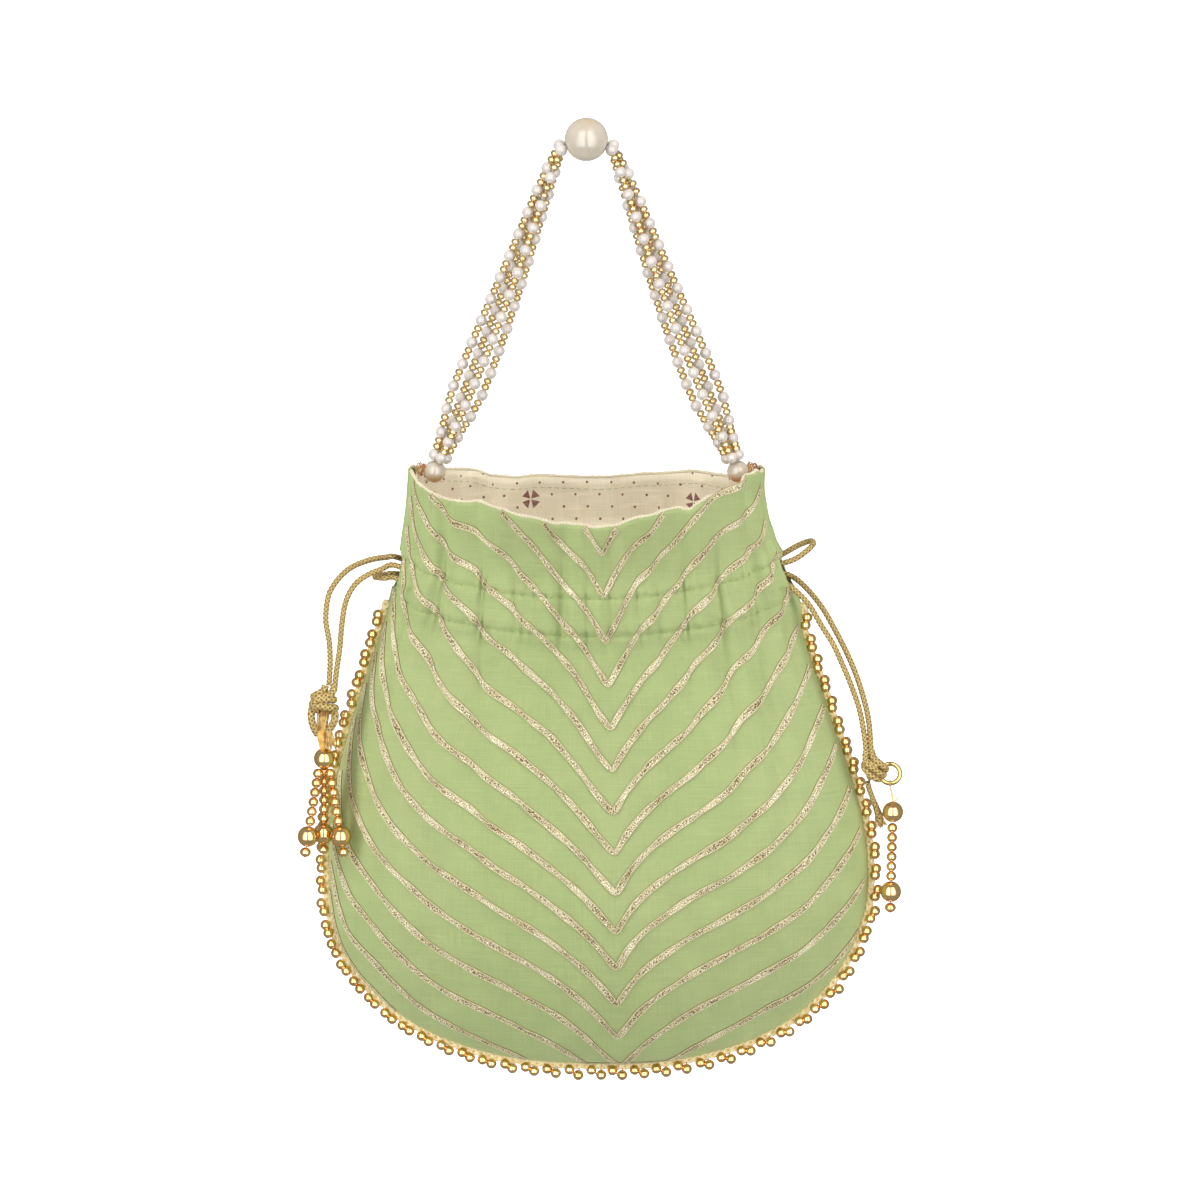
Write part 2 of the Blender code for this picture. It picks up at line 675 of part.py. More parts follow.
def add_left_tassel(group):
    knot_foot = Vector(beside(-1, LEFT_KNOT_PLACE)[0]) - Vector((0.0, 0.0, LEFT_KNOT_SIZE[2] / 2))
    ends_top = knot_foot - Vector((LEFT_ENDS_ASIDE, 0.0, GAP))
    ends = [ends_top, ends_top - Vector((0.0, 0.0, LEFT_ENDS_LENGTH))]
    tube("left_cord_ends", ends, LEFT_ENDS_DIAMETER, gold_thread(), group)
    top = np.array(ends[1]) - np.array((0.0, 0.0, GAP + LARGE_BEAD_DIAMETER / 2))
    ball("left_tassel_top_bead", top, LARGE_BEAD_DIAMETER, gold(), group)
    reach = LARGE_BEAD_DIAMETER / 2 + GAP + SMALL_BEAD_DIAMETER / 2
    tilt = math.radians(STRING_START_DEGREES)
    hang = SMALL_BEAD_PITCH * (SMALL_BEAD_COUNT - 1) + SMALL_BEAD_DIAMETER / 2 + GAP + LARGE_BEAD_DIAMETER / 2
    for word, azimuth, aside in LEFT_STRINGS:
        turn = math.radians(azimuth)
        side_step = math.sin(tilt)
        start = np.array((side_step * math.cos(turn), side_step * math.sin(turn), -math.cos(tilt)))
        lean = (np.array(aside) * LARGE_BEAD_DIAMETER - start[:2] * reach) / hang
        direction = np.array((*lean, -1.0))
        direction /= np.linalg.norm(direction)
        add_bead_string(f"left_tassel_{word}", top + start * reach, direction, group)


def add_right_tassel(group):
    middle_radius = (RING_DIAMETER - RING_WIRE_DIAMETER) / 2
    hook = right_knot_centre() + np.array(RING_STEP) - np.array((0.0, 0.0, middle_radius))
    eye = RING_WIRE_DIAMETER / 2 + GAP + TASSEL_WIRE_DIAMETER / 2
    angles = np.radians(np.linspace(*WIRE_LOOP_DEGREES, 13))
    loop = [hook + np.array((0.0, eye * math.cos(turn), eye * math.sin(turn))) for turn in angles]
    foot = hook - np.array((0.0, 0.0, TASSEL_WIRE_DROP))
    stem = [hook - np.array((0.0, 0.0, eye + WIRE_STEM_START)), foot]
    for step, aside in enumerate(WIRE_LOOP_ASIDE):
        loop[step][0] += aside
    tube("right_tassel_wire", loop + stem, TASSEL_WIRE_DIAMETER, gold(), group, sides=1)
    top = foot - np.array((0.0, 0.0, GAP + LARGE_BEAD_DIAMETER / 2))
    ball("right_tassel_top_bead", top, LARGE_BEAD_DIAMETER, gold(), group)
    down = np.array((0.0, 0.0, -1.0))
    first = top + down * (LARGE_BEAD_DIAMETER / 2 + GAP + SMALL_BEAD_DIAMETER / 2)
    add_bead_string("right_tassel", first, down, group)


def main():
    clear_scene()
    bag = make_collection("potli_bag")
    cutters = make_collection("cutters")
    add_handle(bag)
    panel("front_panel", -1, bag)
    panel("back_panel", 1, bag)
    lining("front_lining", -1, bag)
    lining("back_lining", 1, bag)
    add_trim(bag)
    add_drawstrings(bag)
    add_right_knot_and_ring(bag, cutters)
    add_left_tassel(bag)
    add_right_tassel(bag)


main()
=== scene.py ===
import json
import math

import bpy
import numpy as np
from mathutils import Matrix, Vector

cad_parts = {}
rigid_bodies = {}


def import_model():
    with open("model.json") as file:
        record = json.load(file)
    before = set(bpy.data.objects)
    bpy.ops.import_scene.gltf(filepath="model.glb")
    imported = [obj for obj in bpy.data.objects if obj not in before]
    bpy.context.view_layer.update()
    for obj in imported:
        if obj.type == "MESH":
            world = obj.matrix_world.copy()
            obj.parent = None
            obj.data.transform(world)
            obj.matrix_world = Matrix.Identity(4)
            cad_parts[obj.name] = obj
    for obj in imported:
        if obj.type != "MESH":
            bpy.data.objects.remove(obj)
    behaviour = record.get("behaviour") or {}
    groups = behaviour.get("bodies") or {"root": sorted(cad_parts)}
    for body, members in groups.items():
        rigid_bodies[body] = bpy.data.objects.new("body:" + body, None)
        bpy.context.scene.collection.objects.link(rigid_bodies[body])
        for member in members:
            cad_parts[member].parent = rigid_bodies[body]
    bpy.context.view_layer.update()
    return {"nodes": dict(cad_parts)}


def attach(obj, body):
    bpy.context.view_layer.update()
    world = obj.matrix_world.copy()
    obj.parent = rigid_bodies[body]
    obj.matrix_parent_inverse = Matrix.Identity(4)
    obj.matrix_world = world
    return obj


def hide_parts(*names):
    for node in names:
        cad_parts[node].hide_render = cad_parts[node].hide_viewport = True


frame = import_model()
mm = 0.001

# the camera looks down on the bag by 12 degrees, from so far that nearer parts look no larger; the picture is
# 0.504 m wide at the bag
cameraSet = {
    "tilt": 12.0,
    "distance": 12.0,
    "aim": (0.0057, 0.0, -0.1971),
    "width": 0.504,
}


def makeCamera(p):
    tilt = math.radians(p["tilt"])
    data = bpy.data.cameras.new("camera")
    data.sensor_width = 36.0
    data.lens = 36.0 * p["distance"] / p["width"]
    item = bpy.data.objects.new("camera", data)
    away = Vector((0.0, -math.cos(tilt), math.sin(tilt))) * p["distance"]
    item.location = Vector(p["aim"]) + away
    item.rotation_euler = (math.pi / 2 - tilt, 0.0, 0.0)
    bpy.context.scene.collection.objects.link(item)
    bpy.context.scene.camera = item


makeCamera(cameraSet)
print("camera placed")

# shape of the bag, the same sizes as the solid model's
bag = {
    "seamPoints": 240,  # points round the bottom seam
    "cornerZ": -0.140,
    "rimHalfWidth": 0.0735,
    "bellyHalfWidth": 0.113,
    "rimToBelly": 0.171,
    "bellyToBottom": 0.0835,
    "rimSag": {-1: 0.0187, 1: 0.0120},
    "rimDepth": 0.037,
    "channelDepth": 0.030,
    "bellyDepth": 0.038,
    "channelPlace": 0.27,
    "lean": 0.024,
    "twist": math.radians(5.0),
    "sectionPower": 2.4,
    "sectionEdge": 0.55,
    "bottomPower": 2.2,
    "rimPower": 0.64,
    "seamGap": 0.00025,
    "channelTop": 0.036,
    "channelBottom": 0.052,
    "channelSag": 0.014,
    "laneA": 0.0405,
    "laneB": 0.0462,
    "laneInset": 0.00315,
    "channelReach": 0.90,
    "trimStart": 0.058,
    # how far the mouth's edge waves above its plain curve, in mm, from the left corner (-1) to the right (1)
    "rimWave": {
        -1: [(-1.0, -1.2), (-0.92, 0.0), (-0.84, -0.8), (-0.72, 1.7), (-0.60, 4.0), (-0.49, 3.9), (-0.29, 2.8),
             (-0.15, 0.5), (0.02, -0.5), (0.13, 0.2), (0.32, 3.8), (0.50, 3.4), (0.60, 1.3), (0.64, 3.0),
             (0.70, 4.4), (0.78, 3.6), (0.86, 4.4), (0.90, 5.5), (0.97, 3.0), (1.0, -1.0)],
        1: [(-1.0, 0.0), (-0.67, 1.3), (-0.55, -0.6), (-0.44, -0.9), (-0.27, 0.5), (0.07, 0.0), (0.36, 1.0),
            (0.59, 1.0), (0.77, -1.3), (0.82, -2.3), (1.0, 0.0)],
    },
    # how far the lower seam bulges past its plain curve, in mm, from the left side (0 degrees) round the bottom to
    # the right side (180)
    "swell": [(0, 0.0), (28, 3.3), (47, 3.6), (64, 3.0), (90, 2.0), (125, 0.6), (152, 0.2), (180, 0.0)],
    # how far each side edge waves outward, in mm, by mm below the mouth's corners
    "sideWave": {
        -1: [(-10, 0.8), (0, 0.8), (10, 1.2), (27, 1.2), (38, 0.8), (59, 0.0)],
        1: [(-10, 1.0), (0, 1.0), (10, 0.2), (20, 0.4), (30, 1.5), (38, 3.4), (49, 4.5), (59, 4.2), (70, 1.0),
            (91, 0.6), (110, 0.2), (130, 1.0), (150, 1.9), (180, 1.9), (205, 0.4), (220, 0.0)],
    },
}
bellyZ = bag["cornerZ"] - bag["rimToBelly"]
bottomZ = bellyZ - bag["bellyToBottom"]


def smoothStep(x):
    # three times the square less twice the cube, held between 0 and 1
    x = np.clip(x, 0.0, 1.0)
    return x * x * (3.0 - 2.0 * x)


def wayDown(z):
    return (bag["cornerZ"] - z) / bag["rimToBelly"]


def halfWidth(z):
    return bag["rimHalfWidth"] + (bag["bellyHalfWidth"] - bag["rimHalfWidth"]) * smoothStep(wayDown(z))


def halfDepth(z):
    # smooth steps from the mouth in to the drawstring channel, and from there out to the belly
    way = wayDown(z)
    place = bag["channelPlace"]
    upper = bag["rimDepth"] + (bag["channelDepth"] - bag["rimDepth"]) * smoothStep(way / place)
    low = smoothStep((way - place) / (1.0 - place))
    lower = bag["channelDepth"] + (bag["bellyDepth"] - bag["channelDepth"]) * low
    return np.where(way < place, upper, lower)


def eased(x, stops):
    # values between stops, with a smooth step from each stop to the next
    at, value = np.array(stops).T
    k = np.clip(np.searchsorted(at, x) - 1, 0, len(at) - 2)
    return value[k] + (value[k + 1] - value[k]) * smoothStep((x - at[k]) / (at[k + 1] - at[k]))


def turned(across, out, z, plain=False):
    # the lower seam swells outward from the belly's middle and the side edges wave, most at the seam; then the
    # section turns about the vertical and leans sideways on its way down; the cords keep to the plain shape
    if not plain:
        below = (bag["cornerZ"] - z) / mm
        wave = np.where(across > 0, eased(below, bag["sideWave"][1]), eased(below, bag["sideWave"][-1])) * mm
        across = across + np.sign(across) * wave * np.clip(np.abs(across) / halfWidth(z), 0.0, 1.0) ** 6
    angle = bag["twist"] * smoothStep(wayDown(z))
    fall = np.clip((bellyZ - z) / bag["bellyToBottom"], 0.0, 1.1)
    share = across / bag["bellyHalfWidth"]
    heading = np.arctan2(fall, -share)
    swell = eased(np.degrees(heading), bag["swell"]) * mm * np.clip(fall ** 2 + share ** 2, 0.0, 1.1)
    across = across - swell * np.cos(heading)
    z = z - swell * np.sin(heading)
    x = bag["lean"] * (bag["cornerZ"] - z) + across * np.cos(angle) + out * np.sin(angle)
    y = out * np.cos(angle) - across * np.sin(angle)
    return np.stack([x, y, z], axis=-1)


def bagSection(side, a, z, inset=0.0):
    # out from the seam's plane: the depth times (1 - |a|^2.4 - fall^2.2)^0.55
    fall = np.clip((bellyZ - z) / (bag["bellyToBottom"] - inset), 0.0, None)
    level = np.abs(a) ** bag["sectionPower"] + fall ** bag["bottomPower"]
    bulge = np.clip(1.0 - level, 0.0, 1.0) ** bag["sectionEdge"]
    return a * (halfWidth(z) - inset), side * (bag["seamGap"] + (halfDepth(z) - inset) * bulge)


def bagSurface(side, a, z, inset=0.0, plain=False):
    across, out = bagSection(side, a, z, inset)
    return turned(across, out, z, plain)


def rimHeight(side, a):
    plain = bag["cornerZ"] - bag["rimSag"][side] * (1.0 - a * a) ** bag["rimPower"]
    return plain + eased(a, bag["rimWave"][side]) * mm


def channelHeight(drop, a):
    return bag["cornerZ"] - drop - bag["channelSag"] * (1.0 - a * a) ** bag["rimPower"]


def bottomHeight(a, inset=0.0):
    reach = np.clip(1.0 - np.abs(a) ** bag["sectionPower"], 0.0, 1.0) ** (1.0 / bag["bottomPower"])
    return bellyZ - (bag["bellyToBottom"] - inset) * reach


def beside(side, places):
    # places are out from the side seam, forward or back of it, and down from the mouth's corners
    out, forward, down = np.array(places, float).reshape(-1, 3).T
    z = bag["cornerZ"] + down
    seam = turned(side * halfWidth(z), np.zeros_like(z), z, True)
    return seam + np.stack([side * out, forward, np.zeros_like(z)], axis=1)


def seamLine(outward):
    # the seam from the left side under the bottom to the right, moved outward in its own plane
    start, count = bag["cornerZ"] - bag["trimStart"], bag["seamPoints"]
    heights = np.linspace(start, bellyZ, count // 4)
    angles = np.linspace(0.0, math.pi, count)[1:-1]
    share = np.abs(np.cos(angles)) ** (2.0 / bag["sectionPower"])
    lowAcross = -np.sign(np.cos(angles)) * share * bag["bellyHalfWidth"]
    lowZ = bellyZ - bag["bellyToBottom"] * np.sin(angles) ** (2.0 / bag["bottomPower"])
    across = np.concatenate([-halfWidth(heights), lowAcross, halfWidth(heights[::-1])])
    z = np.concatenate([heights, lowZ, heights[::-1]])
    tangent = np.stack([np.gradient(across), np.gradient(z)], axis=1)
    tangent /= np.linalg.norm(tangent, axis=1)[:, None]
    return turned(across + tangent[:, 1] * outward, 0.0 * z, z - tangent[:, 0] * outward)


# lines and meshes
def lengths(line):
    return np.concatenate([[0.0], np.cumsum(np.linalg.norm(np.diff(line, axis=0), axis=1))])


def along(line, places):
    # points at the given distances along a line
    travelled = lengths(line)
    return np.stack([np.interp(places, travelled, line[:, axis]) for axis in range(3)], axis=1)


def evenly(line, step):
    total = lengths(line)[-1]
    return along(line, np.linspace(0.0, total, max(2, round(total / step)) + 1))


def smoothLine(points, step):
    # a Catmull-Rom curve through the points, read at an even spacing
    given = np.array(points, float)
    ends = np.vstack([2 * given[0] - given[1], given, 2 * given[-1] - given[-2]])
    t = np.linspace(0.0, 1.0, 24, endpoint=False)[None, :, None]
    p0, p1, p2, p3 = [ends[k : len(ends) - 3 + k, None, :] for k in range(4)]
    curve = 0.5 * (2 * p1 + (p2 - p0) * t + (2 * p0 - 5 * p1 + 4 * p2 - p3) * t ** 2
                   + (3 * p1 - p0 - 3 * p2 + p3) * t ** 3)
    return evenly(np.vstack([curve.reshape(-1, 3), given[-1:]]), step)


def gridFaces(rows, columns, closed=False):
    # quads between neighbouring rows and columns of a grid, with the last column joined to the first if closed
    r, c = np.meshgrid(np.arange(rows - 1), np.arange(columns if closed else columns - 1), indexing="ij")
    n = (c + 1) % columns
    quads = np.stack([r * columns + c, r * columns + n, (r + 1) * columns + n, (r + 1) * columns + c], axis=-1)
    return quads.reshape(-1, 4)


def makeMesh(name, points, faces, uv=None, extra=None):
    data = bpy.data.meshes.new(name)
    data.from_pydata(points.reshape(-1, 3).tolist(), [], faces)
    if uv is not None:
        corners = np.zeros(len(data.loops), int)
        data.loops.foreach_get("vertex_index", corners)
        layer = data.uv_layers.new(name="cloth")
        places = uv.reshape(-1, 2)[corners]
        starts = np.zeros(len(data.polygons), int)
        data.polygons.foreach_get("loop_start", starts)
        counts = np.diff(np.append(starts, len(corners)))
        highest = np.repeat(np.maximum.reduceat(places[:, 0], starts), counts)
        places[:, 0] += (highest - places[:, 0] > 0.5) * (highest <= 1.0)  # closes the turn round a tube
        layer.data.foreach_set("uv", places.ravel())
    for word, values in (extra or {}).items():
        layer = data.attributes.new(word, "FLOAT", "POINT")
        layer.data.foreach_set("value", np.asarray(values, np.float32).ravel())
    data.shade_smooth()
    item = bpy.data.objects.new(name, data)
    bpy.context.scene.collection.objects.link(item)
    return item


def ringFrames(line):
    # two directions square to the line at each point, turned as little as possible from a fixed one
    way = np.gradient(line, axis=0)
    way /= np.linalg.norm(way, axis=1)[:, None]
    first = np.zeros_like(way)
    ref = np.array((0.0, 1.0, 0.0)) if abs(way[0, 1]) < 0.8 else np.array((0.0, 0.0, 1.0))
    for k, d in enumerate(way):
        ref = ref - d * np.dot(ref, d)
        ref = ref / np.linalg.norm(ref)
        first[k] = ref
    return way, first, np.cross(way, first)


def tubeGrid(line, radius, sides):
    # a ring of points round each point of the line; radius may be one number or a grid
    _, first, second = ringFrames(line)
    angle = np.linspace(0.0, 2 * math.pi, sides, endpoint=False)
    reach = np.broadcast_to(radius, (len(line), sides))[..., None]
    ring = np.cos(angle)[None, :, None] * first[:, None] + np.sin(angle)[None, :, None] * second[:, None]
    return line[:, None] + ring * reach


def tubeFaces(rows, sides):
    faces = gridFaces(rows, sides, closed=True).tolist()
    return faces + [list(range(sides))[::-1], list(range((rows - 1) * sides, rows * sides))]


def tubeUv(line, sides):
    travelled = lengths(line) / 0.01
    u, v = np.meshgrid(np.linspace(0.0, 1.0, sides, endpoint=False), travelled)
    return np.stack([u, v], axis=-1)


def joinTubes(name, grids, lines=None):
    # several closed tubes as one mesh, each given as a grid of rings; with their lines given it has a UV too
    faces, start = [], 0
    for grid in grids:
        rows, sides = grid.shape[:2]
        faces += [[i + start for i in face] for face in tubeFaces(rows, sides)]
        start += rows * sides
    points = np.vstack([grid.reshape(-1, 3) for grid in grids])
    uv = lines and np.vstack([tubeUv(line, grid.shape[1]).reshape(-1, 2) for line, grid in zip(lines, grids)])
    return makeMesh(name, points, faces, uv)


def makeTube(name, line, radius, sides):
    return joinTubes(name, [tubeGrid(line, radius, sides)], [line])


def assign(item, bodyName, nodes=()):
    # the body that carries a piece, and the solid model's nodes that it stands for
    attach(item, bodyName)
    if nodes:
        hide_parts(*nodes)
    return item


# cords, made first: route points repeated from the solid model
cordSet = {
    "diameter": 0.0025,
    "step": 0.00032,
    "sides": 18,
    "strands": 4,  # yarns that lie round the cord in each direction
    "pitch": 0.0072,  # height of one full turn of a yarn
    "relief": 0.10,
    "tailPitch": 0.0060,  # the same at the cut end, and how much wider its foot is
    "tailWiden": 0.0005,
}
leftBackEnd = [
    (0.0021, 0.0033, -0.0395), (0.0061, 0.0031, -0.0396), (0.0120, 0.0020, -0.0403),
    (0.0183, -0.0001, -0.0423), (0.0226, -0.0032, -0.0451), (0.0257, -0.0064, -0.0496),
    (0.0268, -0.0088, -0.0547), (0.0250, -0.0109, -0.0640), (0.0208, -0.0130, -0.0730),
    (0.0176, -0.0139, -0.0820), (0.0151, -0.0147, -0.0915),
]
leftFrontEnd = [
    (0.0022, -0.0055, -0.0412), (0.0076, -0.0063, -0.0429), (0.0122, -0.0072, -0.0448),
    (0.0161, -0.0083, -0.0478), (0.0183, -0.0096, -0.0520), (0.0189, -0.0109, -0.0575),
    (0.0177, -0.0122, -0.0660), (0.0155, -0.0133, -0.0760), (0.0139, -0.0140, -0.0850),
    (0.0124, -0.0147, -0.0922),
]
leftLoop = [
    (-0.0001, -0.0042, -0.0408), (0.0026, -0.0050, -0.0400), (0.0082, -0.0051, -0.0382),
    (0.0140, -0.0035, -0.0350), (0.0172, -0.0004, -0.0327), (0.0160, 0.0028, -0.0322),
    (0.0105, 0.0050, -0.0345), (0.0042, 0.0059, -0.0378), (0.0002, 0.0061, -0.0397),
]
rightFrontEnd = [
    (-0.0026, -0.0047, -0.0475), (0.0010, -0.0064, -0.0482), (0.0048, -0.0085, -0.0511),
    (0.0085, -0.0103, -0.0567), (0.0107, -0.0110, -0.0651), (0.0129, -0.0117, -0.0730),
    (0.0138, -0.0122, -0.0825), (0.0142, -0.0124, -0.0910), (0.0140, -0.0123, -0.1000),
    (0.0125, -0.0119, -0.1100), (0.0105, -0.0112, -0.1201),
]
rightBackEnd = [
    (-0.0004, 0.0055, -0.0468), (0.0048, 0.0044, -0.0480), (0.0094, 0.0006, -0.0525),
    (0.0132, -0.0042, -0.0590), (0.0155, -0.0074, -0.0675), (0.0171, -0.0094, -0.0765),
    (0.0178, -0.0109, -0.0855), (0.0174, -0.0116, -0.0960), (0.0160, -0.0118, -0.1060),
    (0.0126, -0.0112, -0.1194),
]
rightLoop = [
    (0.0004, 0.0033, -0.0468), (0.0053, 0.0025, -0.0470), (0.0088, -0.0001, -0.0473),
    (0.0083, -0.0033, -0.0470), (0.0049, -0.0053, -0.0468), (0.0004, -0.0059, -0.0466),
]
rightTailSteps = [
    (-0.0021, 0.0008, -0.0061), (-0.0011, 0.0017, -0.0101), (0.0005, 0.0027, -0.0146),
    (0.0021, 0.0034, -0.0191), (0.0035, 0.0038, -0.0236),
]
leftKnot = beside(-1, (0.0113, -0.0157, -0.1033))[0]
rightKnot = beside(1, (0.0113, -0.0104, -0.1254))[0]
ringCentre = rightKnot + np.array((0.0074, 0.0, -0.0024))


def channelRun(side, drop, direction):
    a = np.linspace(-bag["channelReach"], bag["channelReach"], 13) * direction
    return bagSurface(side, a, channelHeight(drop, a), bag["laneInset"], True)


def crossingTurns(line, sides, strands, pitch):
    # the higher of two sets of waves that turn about a line against each other
    angle = np.linspace(0.0, 2 * math.pi, sides, endpoint=False)[None, :]
    turn = 2 * math.pi * lengths(line)[:, None] / pitch
    return angle, np.maximum(np.cos(strands * (angle + turn)), np.cos(strands * (angle - turn)))


def braidedTube(line, diameter):
    # a round tube whose yarns, in two crossing turns, stand a little out of it
    p = cordSet
    _, crossing = crossingTurns(line, p["sides"], p["strands"], p["pitch"])
    return tubeGrid(line, diameter / 2 * (1.0 - p["relief"] + p["relief"] * crossing), p["sides"])


cordRoutes = {
    "left_drawstring_cord": ([
        beside(-1, leftBackEnd)[::-1], channelRun(1, bag["laneA"], 1), beside(1, leftLoop)[::-1],
        channelRun(-1, bag["laneA"], -1), beside(-1, leftFrontEnd)], "left_drawstring"),
    "right_drawstring_cord": ([
        beside(1, rightFrontEnd)[::-1], channelRun(-1, bag["laneB"], -1), beside(-1, rightLoop)[::-1],
        channelRun(1, bag["laneB"], 1), beside(1, rightBackEnd)], "right_drawstring"),
}
for cordName, (routeRuns, nodeName) in cordRoutes.items():
    cordLine = smoothLine(np.vstack(routeRuns), cordSet["step"])
    cordPiece = joinTubes(cordName, [braidedTube(cordLine, cordSet["diameter"])], [cordLine])
    assign(cordPiece, "bag", [nodeName])

# cloth: positions on a panel in the flat cloth's own measures
cloth = {
    "puff": 0.0020,  # how far the channel stands out over its two cords
    "pinch": 0.0030,  # how far a fold takes in the cloth beside it
    "stitchDip": 0.0008,
    "stitchWidth": 0.0013,
    "pucker": 0.00060,
    "rimWave": 0.0016,
    "sway": 0.0010,
    "ripple": 0.0008,  # soft waves across the neck
    # the waves' turns, in radians a metre, and how far up or down each effect reaches, in metres
    "puckerTurns": (900.0, 210.0),
    "rimTurns": (95.0, 217.0),
    "rippleTurns": (370.0, 60.0),
    "swayTurns": (47.0, 30.0),
    "puckerReach": 0.006,
    "puffReach": 0.0115,
    "rimReach": 0.016,
    "rippleReach": 0.045,
    "foldRise": 0.040,
    "slitEnds": 0.0030,
    "seamReach": 0.006,
    "swayFrom": 0.20,
    "swayFull": 0.05,
    "slitBack": 0.022,  # how far the cloth's side edge is drawn in where the cords come out, as a share of the width
    "slitOpen": 0.0022,  # and how far forward or back it stands there
    "thick": 0.0006,
    "sideShare": 0.9999,  # the panels end so near their side seams, as a share of the half width
}
# folds: where on the flat cloth (m from the middle), how deep, how wide, how far they run down, drift
folds = [
    (-0.108, 0.0026, 0.0075, 0.060, 0.10), (-0.085, 0.0034, 0.0075, 0.070, 0.10),
    (-0.062, 0.0036, 0.0078, 0.095, 0.16), (-0.042, 0.0030, 0.0072, 0.045, 0.16),
    (-0.018, 0.0014, 0.0070, 0.035, 0.03), (0.040, 0.0020, 0.0070, 0.060, -0.04),
    (0.056, 0.0032, 0.0072, 0.080, -0.10), (0.076, 0.0034, 0.0072, 0.062, -0.12),
    (0.096, 0.0036, 0.0078, 0.075, -0.14), (0.113, 0.0022, 0.0065, 0.050, -0.10),
]
tableRows = np.linspace(bag["cornerZ"] + 0.004, bottomZ + 0.0002, 360)


def sineSpread(count):
    # places from -1 to 1, close together at both ends
    return np.sin(np.linspace(-1.0, 1.0, count) * math.pi / 2)


tableA = sineSpread(801)


def sectionArc(z):
    # distance along the section from its middle, in metres, for each a of the table
    across, out = bagSection(1, tableA, np.full_like(tableA, z))
    steps = np.hypot(np.diff(across), np.diff(out))
    run = np.concatenate([[0.0], np.cumsum(steps)])
    return run - run[len(run) // 2]


halfCloth = sectionArc(bellyZ)[-1]
tableU = np.linspace(-halfCloth, halfCloth, 801)
rowArcs = [sectionArc(level) for level in tableRows]
# above the belly the cloth is gathered to fit
gathers = np.array([halfCloth / arc[-1] if level > bellyZ else 1.0 for level, arc in zip(tableRows, rowArcs)])
# for each height, a at evenly spaced places of the flat cloth
aTable = np.array([np.interp(tableU, arc * gather, tableA) for arc, gather in zip(rowArcs, gathers)])


def lookUp(table, row, column):
    # a value between the table's rows and columns
    row = np.clip(row, 0.0, table.shape[0] - 1.001)
    column = np.clip(column, 0.0, table.shape[1] - 1.001)
    r, c = row.astype(int), column.astype(int)
    fr, fc = row - r, column - c
    top = table[r, c] * (1 - fc) + table[r, c + 1] * fc
    low = table[r + 1, c] * (1 - fc) + table[r + 1, c + 1] * fc
    return top * (1 - fr) + low * fr


def rowOf(z):
    return (tableRows[0] - z) / (tableRows[0] - tableRows[-1]) * (len(tableRows) - 1)


def acrossOf(u, z):
    # a for a place on the flat cloth
    column = (u + halfCloth) / (2 * halfCloth) * (len(tableU) - 1)
    return lookUp(aTable, rowOf(z), column)


def flatPlaces(a, z, gathered=True):
    # the place on the flat cloth for each a and height of a grid, or with no gathers the way along the section
    table = np.array([np.interp(a[0], tableA, arc) for arc in rowArcs])
    if gathered:
        table = table * gathers[:, None]
    column = np.broadcast_to(np.arange(a.shape[1], dtype=float)[None, :], z.shape)
    return lookUp(table, rowOf(z), column)


def foldReach(z, a, length):
    # a fold is half as deep at the rim, deepest at the channel and dies away below it
    middle = channelHeight((bag["channelTop"] + bag["channelBottom"]) / 2, a)
    above = 0.45 + 0.55 * smoothStep(1.0 - (z - middle) / cloth["foldRise"])
    below = np.exp(-np.clip(middle - z, 0.0, None) / length)
    return np.where(z > middle, above, below)


